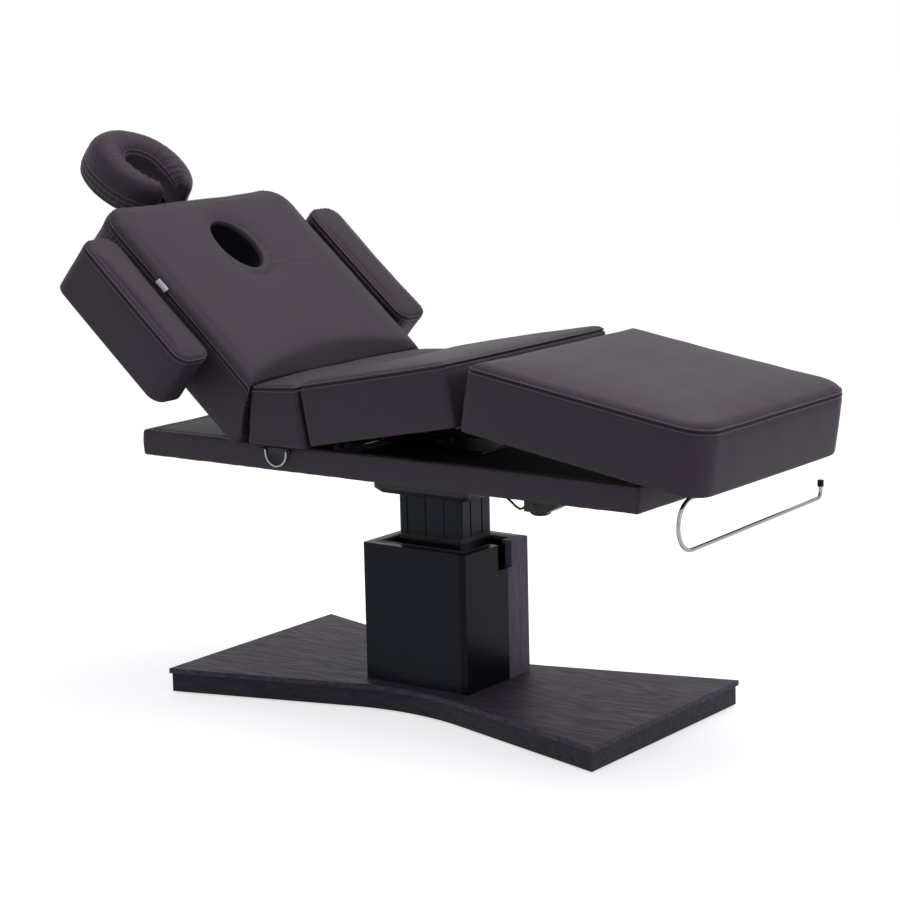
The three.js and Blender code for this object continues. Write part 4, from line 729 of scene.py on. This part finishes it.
def stitch_rows(name, points, normal, stitched, length=0.0042, gap=0.0018, thick=0.0006, closed=True):
    """Thread showing on a sewn seam: one short five-sided bead for each stitch, laid end to end
    along given rows of the cushion's grid, which are closed lines or open ones."""
    sides, bands = 5, ((0.0, 0.35), (0.2, 1.0), (0.8, 1.0), (1.0, 0.35))
    per_bead = sides * len(bands)
    around = np.linspace(0, 2 * np.pi, sides, endpoint=False)
    vertices, faces, base = [], [], 0
    for row in stitched:
        line, out = points[row], normal[row]
        if closed:
            line, out = np.vstack([line, line[:1]]), np.vstack([out, out[:1]])
        run = np.concatenate([[0], np.cumsum(np.linalg.norm(np.diff(line, axis=0), axis=1))])
        count = int(run[-1] / (length + gap))
        start = np.arange(count) * run[-1] / count
        rings = []
        for share, swell in bands:
            at = start + share * length
            centre = np.stack([np.interp(at, run, line[:, k]) for k in range(3)], -1)
            up = np.stack([np.interp(at, run, out[:, k]) for k in range(3)], -1)
            ahead = np.stack([np.interp((at + 1e-3) % run[-1], run, line[:, k]) for k in range(3)], -1) - centre
            side = np.cross(ahead, up)
            side /= np.maximum(np.linalg.norm(side, axis=1, keepdims=True), 1e-12)
            sink = centre + up * thick * (0.5 if swell == 1.0 else -0.6)
            rings.append(sink[:, None] + thick * swell * (np.cos(around)[None, :, None] * side[:, None]
                                                          + np.sin(around)[None, :, None] * up[:, None]))
        vertices.append(np.stack(rings, 1).reshape(-1, 3))
        first = base + np.arange(count)[:, None, None] * per_bead
        ring, k = np.meshgrid(np.arange(len(bands) - 1), np.arange(sides), indexing="ij")
        low, k2 = first + ring * sides, (k + 1) % sides
        faces += np.stack([low + k, low + k2, low + sides + k2, low + sides + k], -1).reshape(-1, 4).tolist()
        caps = base + np.arange(count)[:, None] * per_bead
        faces += (caps + np.arange(sides)[::-1]).tolist()
        faces += (caps + per_bead - sides + np.arange(sides)).tolist()
        base += count * per_bead
    mesh = bpy.data.meshes.new(name)
    mesh.from_pydata(np.concatenate(vertices).tolist(), [], faces)
    mesh.update()
    mesh.materials.append(thread)
    piece = place_mesh(name, mesh)
    return piece


under_rows = 12
stitch_off = 0.0045


def held_rows(along):
    """How firmly each row is held: the underside fully, the seam a quarter, the rest not."""
    return np.where(np.arange(len(along)) <= under_rows, 1.0, np.where(np.abs(along) < 0.004, 0.25, 0.0))


def seam_rows(along):
    """The rows of the two lines of stitches, 4.5 mm under the top seam and over it."""
    return [int(np.argmin(np.abs(along - offset))) for offset in (-stitch_off, stitch_off)]


def box_cushion(name, section, start, length, width, bottom, seam, radii, roll_width, roll_height, crown,
                pocket=0.0155, rim=0.0143, seed=1, shape=None, cap=0.006, pleat=0.0012):
    """A crowned box cushion in a section's own axes: outline times rows, blown up, then seam,
    pleats and waviness pushed out along the normals. Gives the piece and its stitching."""
    count = int(2 * (length + width) / 0.0045)
    inset, z, inward, along = pad_rows(pocket, rim, seam, roll_width, roll_height)
    x, y, corner, at = outline(length, width, radii, inset, count)
    px, py = x * (1 - inward[:, None]), y * (1 - inward[:, None])
    over = dome(px / (length / 2 - roll_width), py / (width / 2 - roll_width))
    pz = z[:, None] + bottom + over * crown * (along[:, None] > 0) * np.minimum(inward[:, None] * 20, 1)
    points = np.stack([px + start + length / 2, py, pz], -1)
    points = inflate(points, held_rows(along), cap=cap)
    if shape is not None:
        points = shape(points)
    lift = seam_shape(along, corner, at, pleat) + waviness(points, seed) * (along > -0.1)[:, None]
    lift[:under_rows] = 0
    points = section.world(points + normals(points) * lift[..., None])
    piece = grid_object(name, points)
    return piece, stitch_rows(name + "_stitching", points, normals(points), seam_rows(along))


leg = box_cushion("leg_pad", leg_section, start=0.006, length=0.590, width=0.644, bottom=0.012,
                  radii=(0.083, 0.014, 0.014, 0.062), seam=0.137, roll_width=0.022, roll_height=0.013,
                  crown=0.007, seed=11, pleat=0.0004)
dress(leg, "leg", ["leg_cushion"])


# Seat section
# The same make, square at both ends, between the lumbar block and the knee.
finish_nodes(plywood, "seat_board")
seat_section = Section(hinges["seat_hinge"], -10.8)
seat = box_cushion("seat_pad", seat_section, start=0.0012, length=0.4088, width=0.640, bottom=0.017,
                   radii=(0.014, 0.014, 0.014, 0.014), seam=0.133, roll_width=0.020, roll_height=0.011,
                   crown=0.006, seed=12, cap=0.004)
dress(seat, "seat", ["seat_cushion"])


# Lumbar block
# A short cushion fixed on the frame between the back and the seat. Its foot side leans with the
# seat, its top climbs 10 mm towards it, its head side is pressed in at both ends by the back,
# and its lower edge flares where the vinyl is stapled.
level_section = Section((0, 0, 0), 0.0)
block_head, block_foot, block_foot_top = -0.3130, -0.1422, -0.1690
block_bottom, block_top, block_rise = 0.6284, 0.767, 0.010
block_press, press_half, flare_height, flare_share = 0.020, 0.322, 0.03, 0.008
fold_height, fold_count = 0.0011, 6


def block_lean(y, z):
    """How far the head side stands back: 20 mm at the top of both ends, nothing in the middle."""
    up = np.clip((z - block_bottom) / (block_top - block_bottom), 0, 1)
    return block_press * (y / press_half) ** 2 * up ** 1.5


def block_shape(points):
    """Leans the foot side and the ends of the head side, raises the top in step with the distance
    from the head side, flares the lowest 30 mm by up to 3 mm, and adds shallow cosine folds that
    run across the top, 29 mm apart and deepest towards the foot side."""
    x, y, z = (points[..., k] for k in range(3))
    up = (z - block_bottom) / (block_top - block_bottom)
    share = (x - block_head) / (block_foot - block_head)
    flare = 1 + flare_share * np.clip(1 - (z - block_bottom) / flare_height, 0, 1) ** 2
    lean = (1 - share) * block_lean(y, z) - share * up * (block_foot - block_foot_top)
    on_top = np.clip((up - 0.93) / 0.06, 0, 1)
    folds = fold_height * on_top * share * np.cos(2 * np.pi * share * fold_count + 0.8 * np.sin(y * 9))
    return np.stack([x + lean, y * flare, z + block_rise * share * up + folds], -1)


block = box_cushion("lumbar_pad", level_section, start=block_head, length=block_foot - block_head, width=0.640,
                    bottom=block_bottom, radii=(0.014, 0.014, 0.014, 0.014), seam=0.125, roll_width=0.012,
                    roll_height=0.008, crown=0.006, pocket=0.0, rim=0.03, seed=13, shape=block_shape, cap=0.003)
dress(block, "frame", ["lumbar_cushion"])


# Armrests
# Two narrow cushions of the same make, plugged into the back board by steel tongues.
back_tilt = 41.0
back_section = Section(hinges["back_hinge"], back_tilt)
arm_low, arm_high, arm_inner, arm_width = 0.141, 0.532, 0.353, 0.104
for side, label in ((-1, "near"), (1, "far")):
    shift = side * (arm_inner + arm_width / 2)
    arm = box_cushion("armrest_" + label + "_pad", back_section, start=-arm_high, length=arm_high - arm_low,
                      width=arm_width, bottom=0.019, radii=(0.034, 0.034, 0.034, 0.034), seam=0.131,
                      roll_width=0.014, roll_height=0.009, crown=0.004, pocket=0.0, rim=0.03,
                      seed=14 + side, cap=0.004,
                      shape=lambda points: points + np.array([0, shift, 0]))
    dress(arm, "armrest_" + label, ["armrest_" + label + "_cushion"])
finish_nodes(powder_coat, "armrest_near_bracket", "armrest_far_bracket")


# Back section
# The same make with a face hole, so the grid is a ring: its rows run from the
# pocket under the board, round the outside and over the top to the hole, and down through it. The
# hole's wall is coloured as near-black knit: painted shade inside the hole.
# At its foot the panel turns down into the joint with the lumbar block.
finish_nodes(plywood, "back_board")
back_head, back_foot, back_width, back_low, back_seam = 0.620, 0.017, 0.648, 0.016, 0.132
hole_along, hole_x, hole_y = -0.448, 0.084, 0.063
lip_along, lip_across, lip_round, lip_drop = hole_along + 0.006, -0.010, 0.006, 0.010
roll_width, roll_height, back_crown = 0.024, 0.017, 0.009
board_pocket, board_rim = 0.0205, 0.0143
lip_rows, wall_rows = 7, 14
dip_depth, dip_fade, near_share, pucker_height = 0.015, 0.36, 0.12, 0.0014
# Valleys round the hole: where each starts, which way it runs, how long and how deep it is
hole_valleys = ((30, 80, 0.20, 0.0034), (42, 86, 0.12, 0.0022), (14, 74, 0.07, 0.0020),
                (64, 96, 0.07, 0.0014), (88, 104, 0.06, 0.0013), (112, 118, 0.045, 0.0012))


def hole_crease(points):
    """Depth of the foam round the hole: a dip on the far side that dies out over 30 mm, radial
    puckers in it, and a few thin valleys that run away from the rim."""
    x, y = points[..., 0] - lip_along, points[..., 1] - lip_across
    ring = np.sqrt((x / hole_x) ** 2 + (y / hole_y) ** 2)
    around = np.arctan2(y / hole_y, x / hole_x)
    far_side = near_share + (1 - near_share) * ((1 + np.sin(around + 0.25)) / 2) ** 1.6
    fade = np.exp(-np.maximum(ring - 1, 0) / dip_fade)
    depth = far_side * fade * (dip_depth + pucker_height * np.cos(around * 19 + 2 * np.sin(around * 5)))
    for angle, turn, length, deep in hole_valleys:
        start = np.array([hole_x * cos(radians(angle)), hole_y * sin(radians(angle))])
        way = np.array([cos(radians(turn)), sin(radians(turn))])
        out = (x - start[0]) * way[0] + (y - start[1]) * way[1]
        off = -(x - start[0]) * way[1] + (y - start[1]) * way[0]
        off = off + 0.004 * np.sin(out * 35)
        fade = np.clip(1 - out / length, 0, 1) ** 1.5 * (out > -0.004)
        depth = depth + deep * fade * np.exp(-(off / (0.003 + 0.035 * np.maximum(out, 0))) ** 2)
    return depth


crease_along, crease_climb, crease_out, crease_sag = -0.090, 0.042, 0.170, 0.010
joint_top, joint_gap, joint_soft = 0.758, 0.002, 0.003
foot_low, foot_bottom, foot_height, foot_lean = 0.6290, 0.630, 0.135, 0.014


def foot_end(points):
    """Where the foot of the back meets the block: x is held under a face by a soft minimum, which
    rounds the bend over 3 mm. The crease runs at 90 mm along in the middle and 48 mm at the ends,
    and from it the face leans in to 2 mm off the block, then away from it by 14 mm at the foot."""
    world = back_section.world(points)
    x, y, z = (world[..., k] for k in range(3))
    share = np.minimum(np.abs(y) / 0.325, 1)
    crease = back_section.world(np.stack([crease_along + crease_climb * share ** 1.7, y,
                                          crease_out - crease_sag * share ** 8], -1))
    joint = block_head + block_lean(y, z) - joint_gap
    over = np.clip((z - joint_top) / (crease[..., 2] - joint_top), 0, 2)
    low = np.clip(1 - (z - foot_bottom) / foot_height, 0, 1)
    face = joint + (crease[..., 0] - joint) * over - foot_lean * low ** 0.6
    ease = np.clip((face - x) / joint_soft, -40, 40)
    world[..., 0] = face - joint_soft * np.log1p(np.exp(ease)) - np.maximum(face - x - 40 * joint_soft, 0)
    world[..., 2] = np.maximum(z, foot_low)
    return world


def back_grid():
    """Ring-shaped grid of the back cushion in its own axes, with the distance over the seam."""
    length = back_head + back_foot
    count = int(2 * (length + back_width) / 0.0044)
    inset, z, inward, along = pad_rows(board_pocket, board_rim, back_seam, roll_width, roll_height, 64)
    x, y, corner, at = outline(length, back_width, (0.014, 0.072, 0.072, 0.014), inset, count)
    middle = (back_foot - back_head) / 2
    edge_x = x + middle
    outer = int(np.argmin(inset + inward))
    angle = np.arctan2(y[outer] - lip_across, edge_x[outer] - lip_along)
    reach = 1 / np.sqrt((np.cos(angle) / hole_x) ** 2 + (np.sin(angle) / hole_y) ** 2)
    rim_x, rim_y = lip_along + reach * np.cos(angle), lip_across + reach * np.sin(angle)
    share = inward[:, None]
    px, py = edge_x * (1 - share) + rim_x * share, y * (1 - share) + rim_y * share
    over = dome((px - middle) / (length / 2 - roll_width), py / (back_width / 2 - roll_width))
    pz = z[:, None] + back_low + over * back_crown * (along[:, None] > 0) * np.minimum(share * 20, 1)
    cover = np.stack([px, py, pz], -1)
    rows = [np.stack([lip_along + (reach - lip_round * np.sin(a)) * np.cos(angle),
                      lip_across + (reach - lip_round * np.sin(a)) * np.sin(angle),
                      cover[-1, :, 2] - lip_drop * (1 - np.cos(a))], -1)
            for a in np.linspace(0, np.pi / 2, lip_rows + 1)[1:]]
    lip, board_top = rows[-1], back_low + board_pocket
    for depth in np.linspace(1, 0, wall_rows)[1:]:
        wall = lip + np.array([hole_along - lip_along, -lip_across, 0]) * (1 - depth)
        wall[:, 2] = board_top + (lip[:, 2] - board_top) * depth
        rows.append(wall)
    past_seam = along[-1] + 0.3 + np.arange(len(rows)) * 0.01
    return np.concatenate([cover, np.stack(rows)]), np.concatenate([along, past_seam]), corner, at


points, along, corner, at = back_grid()
held = held_rows(along)
held[-wall_rows - 1:] = 1.0
points = inflate(points, held, closed_rows=True, column_step=7)
lift = seam_shape(along, corner, at, pleat=0.0028) + waviness(points, 21) * (along > -0.1)[:, None]
lift -= hole_crease(points) * ((along > 0.02) & (along < along[-lip_rows - wall_rows - 1]))[:, None]
lift[:under_rows] = 0
points = points + normals(points, True) * lift[..., None]
points = foot_end(points)
back = grid_object("back_pad", points, closed_rows=True)
back.data.materials.append(vinyl)


def make_hole_shade():
    """Near-black matt knit on the wall of the face hole, as painted shade inside the hole. Its courses of about
    1 mm are drawn
    3 mm apart, so that they show."""
    material, tree, shader = new_material("face hole wall, painted shade")
    place = add_node(tree, "ShaderNodeTexCoord").outputs["Object"]
    knit = add_node(tree, "ShaderNodeTexWave", {}, {"Scale": 105.82, "Distortion": 2.0}, {"Vector": place})
    colour = add_node(tree, "ShaderNodeMix", {"data_type": "RGBA"},
                      {6: linear("#100f15"), 7: linear("#1a1922")}, {0: knit.outputs["Fac"]})
    tree.links.new(colour.outputs[2], shader.inputs["Base Color"])
    shader.inputs["Roughness"].default_value = 0.9
    shader.inputs["Specular IOR Level"].default_value = 0.1
    return material


# The wall of the face hole takes a second, near-black material: painted shade inside the hole.
back.data.materials.append(make_hole_shade())
inside = np.zeros(len(back.data.polygons), int)
inside[(len(along) - wall_rows) * len(at):] = 1
back.data.polygons.foreach_set("material_index", inside)
back_stitches = stitch_rows("back_pad_stitching", points, normals(points, True), seam_rows(along))
for piece in (back, back_stitches):
    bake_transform(piece)
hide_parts("back_cushion", "back_fold")


def make_ribbon():
    """White woven polyester ribbon: weft 0.5 mm apart, with a soft satin sheen."""
    material, tree, shader = new_material("woven polyester ribbon")
    place = add_node(tree, "ShaderNodeTexCoord").outputs["Object"]
    weft = add_node(tree, "ShaderNodeTexNoise", {}, {"Scale": 2000.0, "Detail": 1.0}, {"Vector": place})
    colour = add_node(tree, "ShaderNodeMix", {"data_type": "RGBA"},
                      {6: linear("#e4e2e8"), 7: linear("#f8f6fa")}, {0: weft.outputs["Fac"]})
    tree.links.new(colour.outputs[2], shader.inputs["Base Color"])
    shader.inputs["Roughness"].default_value = 0.55
    return material


# A blank ribbon tag, 35 mm by 13.2 mm, is caught in the near seam and lies up the roll over it,
# on an ellipse a little outside the roll's own.
tag_length, tag_width, tag_columns, tag_rows = 0.035, 0.0132, 15, 9
tag_along, tag_side, tag_foot, tag_wrap = -0.3870, -0.3262, 0.1485, 37
tag_over, tag_rise, tag_slant, tag_wave = 0.026, 0.0195, 0.004, 0.0006
across, up = np.meshgrid(np.linspace(0, 1, tag_columns), np.radians(np.linspace(0, tag_wrap, tag_rows)),
                         indexing="ij")
tag_points = np.stack([tag_along + tag_length * across + tag_slant * np.sin(up),
                       tag_side + tag_over * (1 - np.cos(up)) - tag_wave * np.sin(7 * across),
                       tag_foot + tag_rise * np.sin(up)], -1)
tag_mesh = bpy.data.meshes.new("seam_tag")
first = (np.arange(tag_columns - 1)[:, None] * tag_rows + np.arange(tag_rows - 1)).ravel()
tag_mesh.from_pydata(back_section.world(tag_points).reshape(-1, 3).tolist(), [],
                     np.stack([first, first + tag_rows, first + tag_rows + 1, first + 1], -1).tolist())
tag_mesh.materials.append(make_ribbon())
tag = place_mesh("seam_tag", tag_mesh)
thickness = tag.modifiers.new("thickness", "SOLIDIFY")
thickness.thickness = 0.0005
thickness.offset = 0.0
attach(tag, "back")


# Headrest
# A horseshoe of foam on a plywood plate: a circle outside, and inside a half circle that runs out
# in two straight arms, open towards the bed. The domed top is gathered and piped at the inner
# edge and sewn low down to a pleated band, which is drawn over the edge of the plate.
finish_nodes(plywood, "headrest_board")
finish_nodes(powder_coat, "headrest_socket")
head_section = Section(hinges["headrest_tilt"], 35.0)
head_reach, head_inner, head_low, head_height, mouth = 0.135, 0.042, 0.0703, 0.087, 18.0
head_half, head_run = (head_reach - head_inner) / 2, 0.52
head_middle, skirt_from, skirt_drop = 0.132, 0.1287, 0.0118
pleat_height, pleat_pitch, gather_height, gather_pitch = 0.0009, 0.0115, 0.0016, 0.022
# Seams of the headrest: how far round the section each is, and how deep
head_seams = ((-0.014, 0.0020), (-0.034, 0.0015), (0.120, 0.0012))
head_ridge, ridge_beside, ridge_spread, seam_spread = 0.0009, 0.0045, 0.003, 0.0016
head_along = np.linspace(0, 1, 320)
head_turn = radians(-mouth) - head_along * radians(360 - 2 * mouth)
angle = np.linspace(0, 2 * np.pi, 4001)
boxy = np.where(np.sin(angle) < 0, np.where(np.cos(angle) > 0, 8.0, 3.4), np.where(np.cos(angle) > 0, 2.4, 1.9))
side = np.sign(np.cos(angle)) * np.abs(np.cos(angle)) ** (2 / boxy)
rise = np.sign(np.sin(angle)) * np.abs(np.sin(angle)) ** (2 / boxy)
run = np.concatenate([[0], np.cumsum(np.hypot(np.diff(side) * head_half, np.diff(rise) * head_height / 2))])
girth = np.linspace(0, run[-1], 180, endpoint=False)
side, rise = np.interp(girth, run, side), np.interp(girth, run, rise)
girth = np.where(girth > run[-1] * 0.6, girth - run[-1], girth)
direction = np.stack([np.cos(head_turn), np.sin(head_turn)], -1)
from_mouth = np.minimum(-head_turn, 2 * np.pi + head_turn)
toward = np.clip((np.pi / 2 - from_mouth) / (np.pi / 2 - radians(mouth)), 0, 1)
near_side = np.where(head_turn > -np.pi, -1.0, 1.0)
arm_edge = np.stack([0.090 * toward, near_side * (head_inner - 0.006 * toward)], -1)
inner = np.where(toward[:, None] > 0, arm_edge, head_inner * direction)
middle, half = (head_reach * direction + inner) / 2, (head_reach * direction - inner) / 2
to_end = np.minimum(head_along, 1 - head_along)
horn = 0.66 + 0.34 * np.sqrt(1 - (1 - np.clip(to_end / 0.03, 0, 1)) ** 2)
plan = middle[:, None] + side[None, :, None] * (half * horn[:, None])[:, None]
height = head_low + head_height / 2 + rise[None, :] * head_height / 2 * np.where(rise < 0, 1, horn[:, None])
points = np.concatenate([plan, height[..., None]], -1)


def head_shape(along, girth):
    """Displacement out of the horseshoe, from the distance round the section (0 half-way up the
    outside): seams with a ridge on each side 14 mm and 34 mm down the outside and 120 mm over the
    top, pleats between the outer two, and gathers over the inner edge, deepest on the arms."""
    along, girth = along[:, None], girth[None, :]
    run = along * head_run
    lift = np.zeros((along.shape[0], girth.shape[1]))
    for place, deep in head_seams:
        off = girth - place
        ridge = head_ridge * np.exp(-((np.abs(off) - ridge_beside) / ridge_spread) ** 2)
        lift = lift - deep * np.exp(-(off / seam_spread) ** 2) + ridge
    fold = np.cos(2 * np.pi * run / pleat_pitch + 1.7 * np.sin(run * 43))
    lift = lift + pleat_height * fold * np.exp(-((girth + 0.024) / 0.012) ** 2)
    arms = 0.4 + 0.6 * np.exp(-((np.minimum(along, 1 - along) - 0.14) / 0.13) ** 2)
    gather = np.cos(2 * np.pi * run / gather_pitch + 2.4 * np.sin(run * 31) + 30 * girth)
    gather = gather + 0.6 * np.sin(run * 520 + 25 * girth)
    return lift + gather_height * gather * np.exp(-((girth - 0.092) / 0.036) ** 2) * arms


held = np.zeros(len(head_along))
held[:4] = held[-4:] = 1.0
points = inflate(points, held, row_step=6, column_step=6, cap=0.003)
points = points + normals(points) * (head_shape(head_along, girth) + waviness(points, 41, 0.0008))[..., None]
skirt = np.clip((np.hypot(points[..., 0], points[..., 1]) - skirt_from) / 0.0014, 0, 1)
points[..., 2] -= skirt_drop * skirt * np.clip(-rise, 0, 1)[None, :]
points[..., 2] = np.maximum(points[..., 2], np.where(skirt > 0.5, head_low - skirt_drop, head_low))
points[..., 0] -= head_middle
points = head_section.world(points)
head = grid_object("headrest_pad", points)
seams = [int(np.argmin(np.abs(girth - place))) for place in (-0.009, -0.019, -0.029, 0.1155, 0.1245)]
head_stitches = stitch_rows("headrest_pad_stitching", points.transpose(1, 0, 2),
                            normals(points).transpose(1, 0, 2), seams, closed=False)
dress((head, head_stitches), "headrest", ["headrest_cushion"])


# Bright metal: headrest rods, paper holder, hook
# Bent round steel bar, polished and chrome-plated. The paper rod leaves a socket under the leg
# board, turns under the foot end and runs across it to a rubber cap; the hook hangs in two eyes.


def make_chrome():
    """Chrome plate on steel: a mirror with the faint draw lines of the bar under it."""
    material, tree, shader = new_material("polished chrome plate")
    place = add_node(tree, "ShaderNodeTexCoord").outputs["Object"]
    lines = add_node(tree, "ShaderNodeTexNoise", {}, {"Scale": 260.0, "Detail": 2.0}, {"Vector": place})
    rough = add_node(tree, "ShaderNodeMapRange", {}, {"To Min": 0.06, "To Max": 0.14},
                     {"Value": lines.outputs["Fac"]})
    tree.links.new(rough.outputs["Result"], shader.inputs["Roughness"])
    shader.inputs["Base Color"].default_value = linear("#96989d")
    shader.inputs["Metallic"].default_value = 1.0
    return material


chrome = make_chrome()
finish_nodes(powder_coat, "hook_plate", "paper_holder_socket")
finish_nodes(chrome, "back_actuator_rod", "seat_actuator_rod", "headrest_rods")
finish_nodes(rubber, "paper_holder_cap")


def round_bar(name, path, radius, across, sides=20):
    """A round bar along a flat path: centre + radius times (cos a across, sin a up), where up is
    the path's direction crossed with across. Both ends are rounded over one radius."""
    path = np.asarray(path, float)
    ahead = np.gradient(path, axis=0)
    ahead /= np.linalg.norm(ahead, axis=1, keepdims=True)
    turn = np.linspace(0, np.pi / 2, 5)[:-1]
    start = path[0] - ahead[0] * radius * 0.6 * (np.cos(turn) - 1)[:, None]
    finish = path[-1] + ahead[-1] * radius * 0.6 * (np.cos(turn[::-1]) - 1)[:, None]
    centre = np.concatenate([start, path[1:-1], finish])
    end = 0.35 + 0.65 * np.sin(turn)
    swell = np.concatenate([end, np.ones(len(path) - 2), end[::-1]])
    first, last = np.repeat(ahead[:1], len(turn), 0), np.repeat(ahead[-1:], len(turn), 0)
    along = np.concatenate([first, ahead[1:-1], last])
    up = np.cross(along, across)
    up /= np.linalg.norm(up, axis=1, keepdims=True)
    beside = np.cross(up, along)
    a = np.linspace(0, 2 * np.pi, sides, endpoint=False)
    ring = np.cos(a)[None, :, None] * beside[:, None] + np.sin(a)[None, :, None] * up[:, None]
    return grid_object(name, centre[:, None] + ring * (radius * swell)[:, None, None])


def arc(centre_y, centre_z, radius, start, stop, count):
    """Points (y, z) on an arc, angles in degrees from +Y towards +Z."""
    a = np.radians(np.linspace(start, stop, count))
    return np.stack([centre_y + radius * np.cos(a), centre_z + radius * np.sin(a)], -1)


paper_x, paper_top, paper_bend, paper_near, paper_far = 0.814, 0.608, 0.054, -0.258, 0.286
paper_hook, paper_low, paper_far_low, paper_upright = 0.014, 0.500, 0.511, 0.018
flat = np.concatenate([
    np.linspace((-0.200, paper_top), (paper_near + 0.002, paper_top), 6),
    arc(paper_near, paper_top - paper_bend, paper_bend, 90, 270, 49),
    np.linspace((paper_near + 0.004, paper_low), (paper_far - paper_hook - 0.002, paper_far_low), 40),
    arc(paper_far - paper_hook, paper_far_low + paper_hook, paper_hook, 272, 360, 15),
    np.linspace((paper_far, paper_far_low + paper_hook + 0.002),
                (paper_far, paper_far_low + paper_hook + paper_upright), 4)])
paper_path = np.column_stack([np.full(len(flat), paper_x), flat])
paper_rod = round_bar("paper_rod_bar", paper_path, 0.0045, (1.0, 0.0, 0.0))

hook_x, hook_y, hook_z = hinges["hook_swing"]
hook_ring, hook_drop, hook_wire, hook_end = 0.030, 0.006, 0.0025, 0.009
half_turn = np.radians(np.linspace(180, 360, 41))
bow = np.stack([hook_ring * np.cos(half_turn), hook_ring * np.sin(half_turn) - hook_drop], -1)
bend = np.radians(np.linspace(0, 90, 8))
left = np.stack([-hook_ring - hook_wire + hook_wire * np.sin(bend), hook_wire * (np.cos(bend) - 1)], -1)
left = np.concatenate([[(-hook_ring - hook_end, 0.0)], left])
loop = np.concatenate([left, bow, (left * (-1, 1))[::-1]])
loop_path = np.column_stack([loop[:, 0] + hook_x, np.full(len(loop), hook_y), loop[:, 1] + hook_z])
hook = round_bar("hook_bow", loop_path, hook_wire, (0.0, 1.0, 0.0), 14)
for bar, body, node in ((paper_rod, "leg", "paper_holder_rod"), (hook, "hook", "hook_loop")):
    bar.data.materials.append(chrome)
    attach(bar, body)
    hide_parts(node)
